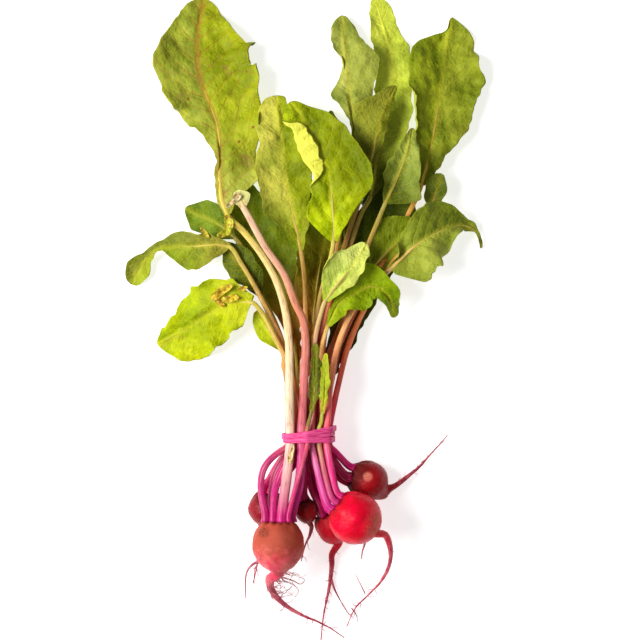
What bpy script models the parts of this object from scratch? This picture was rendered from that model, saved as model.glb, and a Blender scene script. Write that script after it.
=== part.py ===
"""A bunch of small beetroots with their leaves, tied with an elastic band and lying on its side.

Sizes and places are in millimetres here, and every mesh is scaled to metres as it is made.
The beets lie at -Y, the leaf tips point to +Y, and the table is the plane z = 0.
"""
import math

import bmesh
import bpy
import numpy as np

MM = 0.001
COLLECTION = "beetroot_bunch"

# The elastic band and the bundle of stems that it holds
BAND_PLACE = np.array((3.6, -92.8, 26.0))
BAND_WIDTH = 10.0
BAND_THICKNESS = 1.6
BAND_TILT = 0.10
BAND_STRANDS = 3
BAND_RIDGE = 0.5
STRAIGHT_AT_BAND = 8.0

# Room between neighbouring pieces
BUTT_GAP = 0.3
STEM_GAP = 0.5
LAYER_GAP = 1.0

# Leaf stems and blades
BLADE_THICKNESS = 0.9
STEM_AT_CROWN = 0.86
STEM_AT_BLADE = 0.72
ROUTE_STEP = 2.5
STRAIGHT_END = 1.5
TUBE_TOLERANCE = 0.22
LIFT_RAMP = 22.0
RELAX_LIMIT_Y = -30.0
RELAX_ROUNDS = 220

# Beets: centre and radius of the bulb, the way its crown faces, and the line that its root follows
BEETS = {
    "front_left": dict(centre=(-20.6, -177.4, 41), radius=20.7, crown_axis=(0, 1, -0.05), crown=0.58,
                       tail=1.05, root_radius=5.2,
                       root=[(-27.5, -208, 28), (-25.5, -219, 16), (-18, -228.5, 10), (-4, -238, 7),
                             (11, -244.5, 6.5), (21, -250, 5.5), (32, -258, 1.8)],
                       side=[(-32, -190, 36), (-41.5, -195.5, 26), (-46.5, -203, 15), (-48, -212, 8),
                             (-48, -226, 3)]),
    "back_left": dict(centre=(-31, -151.2, 13.6), radius=14.1, crown_axis=(0.25, 1, 0.1), crown=0.62,
                      tail=1.05, root_radius=2.8,
                      root=[(-34, -172, 9), (-37, -190, 5), (-39.5, -203, 3), (-42, -214, 1.5)],
                      side=None),
    "back_small": dict(centre=(0.8, -152, 21.5), radius=9, crown_axis=(-0.3, 1, 0.1), crown=0.64, tail=1.25,
                       root_radius=2.2,
                       root=[(5.5, -166, 17), (4, -174, 12), (0.5, -182, 7), (-3, -196, 2.5)],
                       side=None),
    "back_middle": dict(centre=(20.5, -165.5, 12.3), radius=12.5, crown_axis=(-0.5, 1, 0.2), crown=0.64,
                        tail=1.3, root_radius=3.2,
                        root=[(22, -190, 7), (22, -198, 4.5), (20, -216, 3), (15.5, -238, 2),
                              (13, -261, 1.3)],
                        side=[(20.5, -206, 4), (24, -218, 3), (30, -230, 1.8)]),
    "front_right": dict(centre=(40.4, -156.8, 41), radius=21, crown_axis=(-0.8, 0.55, -0.1), crown=0.6,
                        tail=1.0, root_radius=3.2,
                        root=[(64, -170.5, 37), (68, -180, 30), (69, -191, 21), (66.5, -202, 14),
                              (60.5, -213, 8), (50.5, -224, 4), (41, -234, 2.5), (34, -249, 1.5)],
                        side=[(50, -168, 34), (48, -180, 24), (46.5, -186, 17), (46, -193, 10)]),
    "back_right": dict(centre=(51, -129.2, 15.4), radius=16.1, crown_axis=(-0.92, 0.38, 0.1), crown=0.6,
                       tail=1.0, root_radius=2.8,
                       root=[(71.5, -134.5, 12), (77.5, -131, 9), (85, -125.5, 6), (93, -119, 4),
                             (101.5, -109.5, 3), (111, -99.5, 2), (116, -93.5, 1.5)],
                       side=None),
}
BULB_RINGS = 9
ROOT_TIP_RADIUS = 0.8
SIDE_ROOT_RADIUS = 1.3
BEET_SIDES = 14

# Leaves, from the bottom of the heap to the top. Each has the seat of its stem on the crown, for some a
# place that the stem bows out through, the slot of the stem in the tied bundle, the stem's way to the
# blade, the midrib, and the half-widths of the blade at even steps along it, to the left and right of the
# midrib as seen from the stem.
LEAVES = [
    dict(name="inner_left", beet="back_left", seat=(-5.5, 2), slot=(-6.6, -13.5), radius=2.4,
         stalk=[(-5, -66, 9)],
         rib=[(-6, -52, 6), (-8, -20, 5), (-17, 18, 6), (-29, 56, 8), (-41, 86, 7), (-47, 112, 4)],
         left=[2, 3.5, 6, 12, 17, 20, 22, 20, 7], right=[2, 3.5, 7, 12, 18, 21, 22, 14, 4]),
    dict(name="inner_middle", beet="back_middle", seat=(-1, 4.2), bow=[(2, -132, 13)], slot=(0, -13.5),
         radius=2.4, stalk=[(3.5, -66, 8)],
         rib=[(5, -46, 5), (6, -10, 5), (10, 30, 6), (16, 70, 8), (22, 105, 7), (24, 140, 6), (21, 170, 4)],
         left=[2, 5, 10, 15, 20, 22, 20, 16, 12, 8, 3], right=[2, 8, 14, 16, 18, 20, 18, 15, 14, 9, 3]),
    dict(name="inner_right", beet="back_right", seat=(-7.2, -1), slot=(6.6, -13.5), radius=2.4,
         stalk=[(14, -68, 8)],
         rib=[(18, -54, 5), (29, -18, 5), (46, 24, 6), (62, 60, 8), (73, 86, 7), (81, 114, 4)],
         left=[3, 8, 13, 18, 25, 32, 33, 27, 14], right=[2, 6, 11, 13, 15, 18, 20, 17, 10]),
    dict(name="left_small", beet="back_left", seat=(-3.6, -3.2), slot=(-9.9, -9.0), radius=2.5,
         stalk=[(-10, -64, 12), (-18, -24, 6), (-37, 24, 4), (-50, 57, 5)],
         rib=[(-56, 66, 6), (-71, 78, 5), (-84, 84.5, 1), (-97, 91, -4)],
         left=[1.6, 10, 14, 12, 2], right=[1.6, 12, 14, 12, 2]),
    dict(name="top_tall", beet="back_left", seat=(3, -2.8), slot=(-3.3, -9.0), radius=2.6,
         stalk=[(4, -57, 10), (14, -8, 5), (33, 48, 5), (46, 86, 5)],
         rib=[(53, 99, 6), (58, 129, 8), (67, 162, 7), (71, 194, 4), (67, 227, 1), (57, 262, -4)],
         left=[2, 10, 14, 18, 18, 16, 14, 14, 13, 13, 13, 13, 14, 12.5, 9.5, 8.5, 5],
         right=[2, 10, 13, 14, 17, 18, 19, 18, 16, 15, 16, 16, 14, 10, 11, 10, 6]),
    dict(name="right_tall", beet="back_right", seat=(-2.4, -3.6), slot=(9.9, -9.0), radius=2.6,
         stalk=[(16, -57, 10), (33, -8, 5), (63, 47, 5), (84, 86, 5)],
         rib=[(94, 108, 6), (104, 151, 7), (109, 184, 5), (113, 210, 1), (120, 246, -4)],
         left=[1.6, 6, 10, 14, 17, 20, 22, 24, 26, 28, 29.5, 28, 13, 3, 2],
         right=[2.4, 8, 10, 15, 22, 25, 28, 31, 33, 33, 31, 28, 23, 14, 2.4]),
    dict(name="right_middle", beet="back_middle", seat=(-2.6, -1.6), slot=(3.3, -9.0), radius=2.5,
         stalk=[(11, -57, 12), (24, -16, 9), (38, 16, 9)],
         rib=[(50, 36, 10), (64, 52, 12), (78, 66, 12), (92, 80, 9)],
         left=[2.4, 16, 22, 20, 4], right=[2.4, 8, 10, 8, 2]),
    dict(name="back_left", beet="front_left", seat=(-4.7, -4.4), bow=[(-29, -128, 26)], slot=(-13.2, -4.5),
         radius=2.5, stalk=[(-11, -64, 18), (-15, -28, 14), (-28, 8, 10)],
         rib=[(-35, 19, 9), (-44, 34, 10), (-54, 47, 10), (-65, 62, 6)],
         left=[2, 8, 12, 9, 2], right=[2, 10, 14, 12, 2]),
    dict(name="left_under", beet="back_left", seat=(0.5, 3.6), slot=(-6.6, -4.5), radius=2.4,
         stalk=[(-7, -66, 17), (-11, -42, 16)],
         rib=[(-16, -26, 15), (-24, -14, 15), (-32, -4, 13), (-38, 8, 9)],
         left=[2, 7, 10, 8, 3], right=[2, 4, 7, 7, 2]),
    dict(name="top_pale", beet="back_small", seat=(2.6, -0.5), slot=(0, -4.5), radius=2.5,
         stalk=[(5, -56, 17), (14, 0, 12), (29, 73, 10), (38, 113, 9)],
         rib=[(41, 129, 10), (38, 162, 13), (35, 193, 13), (32, 222, 10), (30, 247, 5)],
         left=[1.6, 2.4, 2.4, 4, 6, 12, 17, 5, 2, 5, 12, 9, 3],
         right=[1.6, 6, 10, 11, 14, 18, 22, 24, 25, 22, 14, 8, 4]),
    dict(name="right_folded", beet="back_right", seat=(-3.2, 4.4), slot=(13.2, -4.5), radius=2.5,
         stalk=[(20, -56, 17), (31, -8, 14), (48, 52, 14), (60, 82, 14)],
         rib=[(65, 94, 16), (72, 109, 20), (80, 128, 22), (87, 154, 18)],
         left=[2.4, 8, 12, 10, 6, 2], right=[3, 22, 20, 13, 8, 2]),
    dict(name="top_front", beet="back_middle", seat=(3.2, 0.6), slot=(6.6, -4.5), radius=2.5,
         stalk=[(12, -56, 20), (19, 8, 18), (36, 72, 18), (49, 110, 20)],
         rib=[(53, 126, 22), (57, 145, 24), (63, 166, 24), (73, 188, 18)],
         left=[2.4, 14, 20, 21, 11, 2], right=[2, 5, 7, 6, 5, 2]),
    dict(name="left_curled", beet="front_left", seat=(-10, 0.5), bow=[(-37, -131, 34), (-37, -113, 31)],
         slot=(-16.5, 0), radius=2.5, stalk=[(-11, -64, 22), (-15, -26, 18), (-33, 14, 14), (-51, 46, 13)],
         rib=[(-60.5, 59, 14), (-84, 59, 16), (-103, 59, 15), (-117, 57.5, 12), (-127, 50, 8),
              (-136, 38.5, 5), (-141, 29, 3)],
         left=[2.4, 10, 15, 19, 20, 4, 2, 3, 10, 11, 5], right=[2.4, 7, 9, 12, 12, 8.5, 5, 6, 8, 11, 5]),
    dict(name="left_low", beet="front_left", seat=(-4, 2.2), bow=[(-26, -132, 37)], slot=(-9.9, 0),
         radius=2.5, stalk=[(-9, -64, 22), (-14, -34, 18), (-25, -11, 14), (-34, 6, 11)],
         rib=[(-42, 14, 11), (-55, 14, 12), (-70, 9, 11), (-88, -2, 8), (-102, -11, 5), (-120, -19.5, 1)],
         left=[8, 20, 22, 23, 26, 28, 28, 17, 3], right=[6, 14, 22, 26, 23, 18, 13, 10, 2.4]),
    dict(name="left_broad", beet="front_left", seat=(3.2, 3.8), slot=(-14.8, 5.9), radius=3.5,
         stalk=[(-11.5, -64, 31), (-12, -20, 30), (-15, 6, 28), (-22, 30, 26), (-34, 52, 24), (-49, 71, 22)],
         rib=[(-62, 84, 21), (-68, 109, 18), (-69, 150, 16), (-76, 173, 14), (-84, 194, 11), (-87, 222, 7),
              (-83, 261, 2)],
         left=[2.4, 3, 3.5, 3, 3, 6, 14, 18, 24, 31, 34, 30, 41, 28, 20, 15, 9],
         right=[3, 12, 30, 32, 30, 31, 33, 39, 44, 45, 43, 43, 48, 42, 28, 17, 9]),
    dict(name="right_small", beet="back_right", seat=(5.5, 1.5), bow=[(30, -109, 23)], slot=(16.5, 0),
         radius=2.5,
         stalk=[(25, -60, 22), (37, -16, 17), (56, 23, 13), (75, 51, 12), (90, 62, 13), (98, 80, 14)],
         rib=[(102, 90, 15), (106, 104, 17), (110, 118, 15)],
         left=[2, 10, 11, 3], right=[2, 7, 8, 2]),
    dict(name="centre_left", beet="back_small", seat=(-2.6, 0.6), slot=(-3.3, 0), radius=2.5,
         stalk=[(0, -56, 25), (1, -20, 24), (1, 8, 24), (0, 33, 26)],
         rib=[(-3, 56, 28), (-10, 88, 30), (-15, 111, 30), (-18, 139, 28), (-23, 180, 22)],
         left=[2.4, 8, 16, 19, 22, 23, 23, 22, 20, 18, 17, 16, 9],
         right=[2.4, 6, 10, 14, 18, 20, 21, 19, 16, 13, 11, 10, 7]),
    dict(name="centre_bright", beet="front_right", seat=(-6, -2.5), slot=(3.3, 0), radius=2.5,
         stalk=[(8, -56, 26), (8, -20, 25), (12, 16, 27), (20, 46, 32)],
         rib=[(23, 62, 35), (22, 92, 37), (19, 114, 37), (12, 137, 35), (1, 157, 31), (-12, 174, 25)],
         left=[2, 18, 20, 14, 24, 33, 30, 18, 4], right=[3, 10, 25, 34, 35, 27, 22, 12, 3]),
    dict(name="right_low", beet="front_right", seat=(8.2, 1), slot=(14.2, 5.4), radius=2.7,
         stalk=[(19, -60, 30), (24, -30, 26), (36, 3, 21), (54, 28, 18)],
         rib=[(69, 41, 17), (88, 59, 17), (104, 69, 15), (122, 76, 12), (133, 75.5, 8), (141, 69, 5),
              (143.5, 58, 2)],
         left=[2.4, 5, 12, 19, 25, 25, 14, 3, 1.8, 1.5], right=[6, 25, 28, 25, 23, 15, 6, 2, 1.8, 1.5]),
    dict(name="right_front", beet="front_right", seat=(3.2, -4.6), slot=(9.9, 0), radius=2.4,
         stalk=[(14, -60, 26), (13.5, -26, 26)],
         rib=[(18, -6, 28), (27, 13, 30), (41, 22, 31), (55, 27, 30), (67, 18, 26), (72.5, 2, 16)],
         left=[2, 3, 7, 12, 17, 13, 7, 3], right=[2, 9, 8, 14, 16, 10, 5, 4, 3]),
    dict(name="front_pale", beet="front_right", seat=(-3.5, 3.6), slot=(2.6, 5.8), radius=2.4,
         stalk=[(7, -60, 31), (8, -20, 34), (12, 1, 38)],
         rib=[(17, 16, 41), (26, 28, 43), (38, 43, 44), (49, 61, 38)],
         left=[2, 12, 21, 22, 9, 3], right=[3, 6, 9, 11, 8, 3]),
    dict(name="front_dark", beet="front_left", seat=(8.4, 5.4), slot=(-1.3, 10.9), radius=1.7,
         stalk=[(3.6, -81, 38)],
         rib=[(5.5, -73, 39.5), (8, -58, 41), (8.5, -38, 42), (9, -18, 42)],
         left=[1.5, 3, 4, 4.5, 3, 1.5], right=[1.5, 4, 4.5, 4, 3.5, 1.5]),
    dict(name="front_small", beet="front_right", seat=(2.5, 3.8), slot=(8.4, 5.5), radius=2.1,
         stalk=[(13.5, -81, 32)],
         rib=[(14, -75, 34), (16, -60, 38), (16.5, -44, 40), (17, -26, 38)],
         left=[1.5, 3, 4, 3.5, 1.5], right=[1.5, 3, 4, 3.5, 1.5]),
    dict(name="front_broken", beet="front_left", seat=(10, -0.8), bow=[(-3, -134, 39)], slot=(-5.6, 6.4),
         radius=3.5, stalk=[(-1, -64, 34), (1, -19, 36), (-1, 0, 38), (-7, 13, 41), (-16, 36, 44),
                            (-31, 58, 46), (-44, 82, 46)],
         rib=[(-48, 89, 46), (-50, 95, 46), (-54, 102, 44)],
         left=[2.4, 7, 2], right=[2.4, 9, 2]),
]
WAVE_SPACING = 30.0
WAVE_SHARE = 0.13
SCALLOP_SHARE = 0.07
TROUGH_SHARE = 0.16
ROW_SPACING = 13.0
COLUMN_SPACING = 12.0
SAMPLES_PER_CELL = 8
STIFF_WIDTH = 10.0
SUPPLE_WIDTH = 40.0

# Finish of each kind of piece: colour, roughness and metallic
FINISHES = {
    "beet_skin": ((0.16, 0.010, 0.030, 1), 0.55, 0.0),
    "stem_skin": ((0.50, 0.045, 0.12, 1), 0.42, 0.0),
    "leaf_green": ((0.10, 0.17, 0.025, 1), 0.48, 0.0),
    "band_pink": ((0.85, 0.03, 0.30, 1), 0.55, 0.0),
}


def clear_scene():
    for thing in list(bpy.data.objects):
        bpy.data.objects.remove(thing, do_unlink=True)


def unit(vector):
    vector = np.asarray(vector, dtype=float)
    return vector / np.linalg.norm(vector)


def smooth_line(points, step):
    """Places at even steps on one smooth curve through the given points."""
    points = np.asarray(points, dtype=float)
    knots = np.concatenate(([0], np.cumsum(np.sqrt(np.linalg.norm(np.diff(points, axis=0), axis=1)))))
    slopes = np.gradient(points, knots, axis=0)
    dense = []
    for k in range(len(points) - 1):
        span = knots[k + 1] - knots[k]
        t = np.linspace(0, 1, 40, endpoint=False)[:, None]
        dense.append((2 * t**3 - 3 * t**2 + 1) * points[k] + (t**3 - 2 * t**2 + t) * span * slopes[k]
                     + (3 * t**2 - 2 * t**3) * points[k + 1] + (t**3 - t**2) * span * slopes[k + 1])
    dense = np.vstack(dense + [points[-1:]])
    length = np.concatenate(([0], np.cumsum(np.linalg.norm(np.diff(dense, axis=0), axis=1))))
    count = max(2, int(round(length[-1] / step)) + 1)
    even = np.linspace(0, length[-1], count)
    return np.column_stack([np.interp(even, length, dense[:, k]) for k in range(3)])


def simplify(points, tolerance):
    """The indexes of the points that a line needs to stay within the tolerance."""
    def split(first, last):
        chord = points[last] - points[first]
        away = points[first:last + 1] - points[first]
        along = np.clip(away @ chord / max(chord @ chord, 1e-9), 0, 1)
        miss = np.linalg.norm(away - along[:, None] * chord, axis=1)
        worst = int(np.argmax(miss))
        if miss[worst] <= tolerance:
            return [last]
        return split(first, first + worst) + split(first + worst, last)
    return [0] + split(0, len(points) - 1)


def crown_frame(beet):
    """The middle of a beet's crown, the way that it faces, and two directions across it."""
    axis = unit(beet["crown_axis"])
    across = unit(np.cross(axis, (0, 0, 1)))
    up = np.cross(across, axis)
    middle = np.array(beet["centre"]) + axis * beet["radius"] * math.sqrt(1 - beet["crown"] ** 2)
    return middle, axis, across, up


def leaf_line(leaf):
    """The line of a leaf's stem from the crown through the band, and the line of its midrib."""
    middle, axis, across, up = crown_frame(BEETS[leaf["beet"]])
    seat = middle + axis * BUTT_GAP + across * leaf["seat"][0] + up * leaf["seat"][1]
    slot = BAND_PLACE + (leaf["slot"][0], 0, leaf["slot"][1])
    straight = np.array((0, STRAIGHT_AT_BAND, 0))
    below = [seat, seat + axis * 7] + leaf.get("bow", []) + [slot - straight]
    points = below + [slot, slot + straight] + leaf["stalk"] + leaf["rib"]
    line = smooth_line(points, ROUTE_STEP)
    base = int(np.argmin(np.linalg.norm(line - leaf["rib"][0], axis=1)))
    heading = unit(line[base + 1] - line[base - 1])
    end = line[base] - heading * BUTT_GAP
    return np.vstack((line[:base - 1], end - heading * STRAIGHT_END, end)), line[base:], heading


def relax_stems(routes, radii):
    """Pushes the stems apart between the crowns and the place where they fan out."""
    owner = np.concatenate([np.full(len(line), k) for k, line in enumerate(routes)])
    place = np.vstack(routes)
    radius = np.array(radii)[owner]
    order = np.concatenate([np.arange(len(line)) for line in routes])
    near_band = np.abs(place[:, 1] - BAND_PLACE[1]) < STRAIGHT_AT_BAND + 1
    free = (order > 3) & ~near_band & (place[:, 1] < RELAX_LIMIT_Y)
    free &= np.concatenate([np.arange(len(line), 0, -1) > 5 for line in routes])
    bulbs = [(np.array(beet["centre"], dtype=float), beet["radius"]) for beet in BEETS.values()]
    own = np.array([list(BEETS).index(leaf["beet"]) for leaf in LEAVES])[owner]
    active = place[:, 1] < RELAX_LIMIT_Y + 10
    index = np.flatnonzero(active)
    different = owner[index][:, None] != owner[index][None, :]
    reach = radius[index][:, None] + radius[index][None, :] + STEM_GAP
    for _ in range(RELAX_ROUNDS):
        here = place[index]
        away = here[:, None, :] - here[None, :, :]
        distance = np.linalg.norm(away, axis=2) + 1e-6
        push = np.where(different, np.maximum(reach - distance, 0), 0)
        push = np.where(push < reach * 0.8, push, 0)
        move = (away / distance[..., None] * push[..., None]).sum(axis=1)
        count = np.maximum((push > 0).sum(axis=1), 1)[:, None]
        step = np.zeros_like(place)
        step[index] = 0.5 * move / count
        for k, (centre, bulb) in enumerate(bulbs):
            from_bulb = place - centre
            far = np.linalg.norm(from_bulb, axis=1) + 1e-6
            short = np.maximum(bulb + radius + STEM_GAP - far, 0) * (own != k)
            step += from_bulb / far[:, None] * short[:, None]
        place = place + step * free[:, None]
        middle = (np.roll(place, 1, axis=0) + np.roll(place, -1, axis=0)) / 2
        place = np.where(free[:, None], place + 0.22 * (middle - place), place)
    return [place[owner == k] for k in range(len(routes))]


def blade_net(leaf, rib, heading):
    """The unlifted blade as a coarse net of places: rows along the midrib, columns across."""
    length = np.linalg.norm(np.diff(rib, axis=0), axis=1).sum()
    rows = max(4, int(round(length / ROW_SPACING)))
    widest = max(leaf["left"]) + max(leaf["right"])
    columns = max(4, 2 * int(round(widest / COLUMN_SPACING / 2)))
    u = np.linspace(0, 1, rows + 1)
    even = np.linspace(0, 1, len(rib))
    middle = np.column_stack([np.interp(u, even, rib[:, k]) for k in range(3)])
    slope = np.gradient(rib, axis=0)
    slope[0] = heading
    ahead = np.column_stack([np.interp(u, even, slope[:, k]) for k in range(3)])
    ahead /= np.linalg.norm(ahead, axis=1)[:, None]
    side = np.cross((0, 0, 1), ahead)
    side /= np.linalg.norm(side, axis=1)[:, None]
    up = np.cross(ahead, side)
    waves = max(1, round(length / WAVE_SPACING))
    phase = 1.7 * LEAVES.index(leaf)
    net = np.zeros((rows + 1, columns + 1, 3))
    for j, v in enumerate(np.linspace(-1, 1, columns + 1)):
        stations = leaf["right"] if v < 0 else leaf["left"]
        widths = np.interp(u, np.linspace(0, 1, len(stations)), stations)
        turn = 2 * math.pi * waves * u + phase + (2.1 if v < 0 else 0)
        across = v * widths * (1 + SCALLOP_SHARE * np.sin(turn * 1.5) * abs(v))
        rise = widths * (TROUGH_SHARE * abs(v) ** 1.5 + WAVE_SHARE * v * v * np.sin(turn))
        net[:, j] = middle + side * across[:, None] + up * rise[:, None]
    net[..., 2] = np.maximum(net[..., 2], BLADE_THICKNESS / 2)
    return net


def fine_net(net):
    """Many places on the flat panels of a net."""
    rows, columns = net.shape[0] - 1, net.shape[1] - 1
    u = np.linspace(0, rows, rows * SAMPLES_PER_CELL + 1)
    v = np.linspace(0, columns, columns * SAMPLES_PER_CELL + 1)
    for axis, steps in ((0, u), (1, v)):
        even = np.arange(net.shape[axis])
        net = np.apply_along_axis(lambda line: np.interp(steps, even, line), axis, net)
    return net


def windows(values, reach, axis):
    pad = [(0, 0)] * values.ndim
    pad[axis] = (reach, reach)
    padded = np.pad(values, pad, mode="edge")
    return np.lib.stride_tricks.sliding_window_view(padded, 2 * reach + 1, axis)


def gentle_lift(need, reaches):
    """A smooth lift that is nowhere less than what is needed."""
    for axis, reach in enumerate(reaches):
        need = windows(need, reach, axis).max(axis=-1)
    for axis, reach in enumerate(reaches):
        need = windows(need, reach, axis).mean(axis=-1)
    return need


class Heap:
    """The top of all that has been laid, as heights on a grid of 1 mm cells seen from above."""

    def __init__(self):
        self.corner = np.array((-170.0, -130.0))
        self.top = np.full((341, 421), -20.0)

    def cells(self, places, radius):
        reach = int(math.ceil(radius))
        home = np.rint(places[..., :2] - self.corner).astype(int)
        for dx in range(-reach, reach + 1):
            for dy in range(-reach, reach + 1):
                cell = home + (dx, dy)
                cell = np.clip(cell, 0, np.array(self.top.shape) - 1)
                off = cell + self.corner - places[..., :2]
                room = radius * radius - (off ** 2).sum(axis=-1)
                yield cell[..., 0], cell[..., 1], room

    def height_for(self, places, radius):
        """How high the middle of a ball must be at each place to lie on the heap."""
        height = np.full(places.shape[:-1], -20.0)
        for x, y, room in self.cells(places, radius):
            level = self.top[x, y] + np.sqrt(np.maximum(room, 0))
            height = np.maximum(height, np.where(room > 0, level, -20))
        return height

    def lay(self, places, radius):
        for x, y, room in self.cells(places, radius):
            inside = room > 0
            level = places[..., 2] + np.sqrt(np.maximum(room, 0))
            np.maximum.at(self.top, (x[inside], y[inside]), level[inside])


def settle(routes, ribs, headings):
    """Lays stem and blade, leaf by leaf, each clear of what lies under it."""
    heap = Heap()
    nets = []
    for leaf, route, rib, heading in zip(LEAVES, routes, ribs, headings):
        net = blade_net(leaf, rib, heading)
        fine = fine_net(net)
        need = np.maximum(heap.height_for(fine, BLADE_THICKNESS / 2 + LAYER_GAP) - fine[..., 2], 0)
        coarse = np.zeros(net.shape[:2])
        for i in range(net.shape[0]):
            for j in range(net.shape[1]):
                rows = slice(max(i - 1, 0) * SAMPLES_PER_CELL, (i + 1) * SAMPLES_PER_CELL + 1)
                columns = slice(max(j - 1, 0) * SAMPLES_PER_CELL, (j + 1) * SAMPLES_PER_CELL + 1)
                coarse[i, j] = need[rows, columns].max()
        lift = gentle_lift(coarse, (1, 1))
        width = np.linalg.norm(net[:, -1] - net[:, 0], axis=1)
        stiff = np.clip((SUPPLE_WIDTH - width) / (SUPPLE_WIDTH - STIFF_WIDTH), 0, 1)[:, None]
        lift += stiff * (lift.max(axis=1, keepdims=True) - lift)

        radius = leaf["radius"]
        past_band = route[:, 1] - BAND_PLACE[1] - STRAIGHT_AT_BAND
        start = int(np.argmax(past_band > 0))
        ramp = np.clip(past_band[start:] / LIFT_RAMP, 0, 1)
        stem_need = np.maximum(heap.height_for(route[start:], radius + STEM_GAP) - route[start:, 2], 0)
        stem_need[-3:] = np.maximum(stem_need[-3:], lift[0, lift.shape[1] // 2])
        stem_lift = gentle_lift(stem_need * ramp, (6,)) * ramp
        stem_lift[-3:] = stem_lift[-3:].max()
        route[start:, 2] += stem_lift
        extra = stem_lift[-1] - lift[0, lift.shape[1] // 2]
        fade = np.linspace(1, 0, net.shape[0]) ** 1.5
        net[..., 2] += lift + extra * fade[:, None]

        heap.lay(smooth_line(route[start:], 0.8), radius)
        heap.lay(fine_net(net), BLADE_THICKNESS / 2)
        nets.append(net)
    return nets


def finish_material(slot):
    colour, roughness, metallic = FINISHES[slot]
    material = bpy.data.materials.get(slot) or bpy.data.materials.new(slot)
    material.use_nodes = True
    shader = material.node_tree.nodes["Principled BSDF"]
    shader.inputs["Base Color"].default_value = colour
    shader.inputs["Roughness"].default_value = roughness
    shader.inputs["Metallic"].default_value = metallic
    return material


def add_object(name, data, slot, collection):
    thing = bpy.data.objects.new(name, data)
    data.materials.append(finish_material(slot))
    collection.objects.link(thing)
    return thing


def tube(name, points, radii, sides, slot, collection):
    """A tube whose radius changes from point to point, with flat ends."""
    curve = bpy.data.curves.new(name, "CURVE")
    curve.dimensions = "3D"
    curve.bevel_depth = MM
    curve.bevel_resolution = (sides - 4) // 2
    curve.use_fill_caps = True
    spline = curve.splines.new("POLY")
    spline.points.add(len(points) - 1)
    for knot, place, radius in zip(spline.points, points, radii):
        knot.co = (*(float(c) * MM for c in place), 1)
        knot.radius = float(radius)
    return add_object(name, curve, slot, collection)


def as_mesh(thing):
    """A curve object turned into a mesh object with its caps joined on."""
    mesh = bpy.data.meshes.new_from_object(thing.evaluated_get(bpy.context.evaluated_depsgraph_get()))
    shape = bmesh.new()
    shape.from_mesh(mesh)
    bmesh.ops.remove_doubles(shape, verts=shape.verts, dist=1e-6)
    shape.to_mesh(mesh)
    shape.free()
    name = thing.name
    collection = thing.users_collection[0]
    bpy.data.objects.remove(thing, do_unlink=True)
    solid = bpy.data.objects.new(name, mesh)
    collection.objects.link(solid)
    return solid


def join_solids(body, extra):
    """Unites a second solid with the first and removes it."""
    union = body.modifiers.new("join", "BOOLEAN")
    union.operation = "UNION"
    union.solver = "EXACT"
    union.object = extra
    bpy.context.view_layer.update()
    mesh = bpy.data.meshes.new_from_object(body.evaluated_get(bpy.context.evaluated_depsgraph_get()))
    body.modifiers.clear()
    body.data = mesh
    bpy.data.objects.remove(extra, do_unlink=True)


def flatten_below_table(thing):
    """Cuts off what would reach under z = 0, which leaves the flat spot that a beet rests on."""
    shape = bmesh.new()
    shape.from_mesh(thing.data)
    parts = shape.verts[:] + shape.edges[:] + shape.faces[:]
    cut = bmesh.ops.bisect_plane(shape, geom=parts, dist=1e-7, plane_co=(0, 0, 0), plane_no=(0, 0, 1),
                                 clear_inner=True)
    rim = [edge for edge in cut["geom_cut"] if isinstance(edge, bmesh.types.BMEdge)]
    if rim:
        bmesh.ops.edgeloop_fill(shape, edges=rim)
        bmesh.ops.recalc_face_normals(shape, faces=shape.faces)
    shape.to_mesh(thing.data)
    shape.free()


def bulb_rings(beet):
    """Places and radii from the crown down the axis of a bulb and on along its root."""
    middle, axis, _, _ = crown_frame(beet)
    size = beet["radius"]
    crown_height = size * math.sqrt(1 - beet["crown"] ** 2)
    tail = size * beet["tail"]
    turn = np.linspace(0, 1, BULB_RINGS)
    first = math.acos(crown_height / size)
    height = np.cos(first + (math.pi - first) * turn)
    height = np.where(height > 0, height * size, height * tail)
    share = np.where(height > 0, height / size, height / tail)
    ring = size * np.sqrt(np.maximum(1 - share ** 2, 0))
    root_share = np.clip(-height / tail, 0, 1) ** 3
    ring = np.hypot(ring, beet["root_radius"] * root_share)
    bulb = np.array(beet["centre"]) + axis * height[:, None]
    pole = bulb[-1]
    root = smooth_line([pole - axis * -2.0, pole] + beet["root"], 2.0)[2:]
    keep = simplify(root, 0.35)
    way = np.linspace(0, 1, len(root))[keep]
    root_ring = ROOT_TIP_RADIUS + (beet["root_radius"] - ROOT_TIP_RADIUS) * (1 - way) ** 1.8
    return np.vstack((bulb[:-1], root[keep])), np.concatenate((ring[:-1], root_ring))


def make_beets(collection):
    for name, beet in BEETS.items():
        points, radii = bulb_rings(beet)
        body = as_mesh(tube("beet_" + name, points, radii, BEET_SIDES, "beet_skin", collection))
        if beet["side"]:
            line = smooth_line(beet["side"], 7.0)
            taper = np.linspace(SIDE_ROOT_RADIUS, ROOT_TIP_RADIUS, len(line))
            join_solids(body, as_mesh(tube("side_root", line, taper, 6, "beet_skin", collection)))
        flatten_below_table(body)
        body.data.shade_smooth()
        body.data.set_sharp_from_angle(angle=math.radians(50))


def make_stems(routes, collection):
    for leaf, route in zip(LEAVES, routes):
        keep = simplify(route[:-1], TUBE_TOLERANCE) + [len(route) - 1]
        along = np.linspace(0, 1, len(route))
        band = int(np.argmin(np.abs(route[:, 1] - BAND_PLACE[1])))
        share = np.interp(along, [0, along[band], 1], [STEM_AT_CROWN, 1, STEM_AT_BLADE])
        tube("stem_" + leaf["name"], route[keep], (share * leaf["radius"])[keep], 6, "stem_skin", collection)


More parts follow.
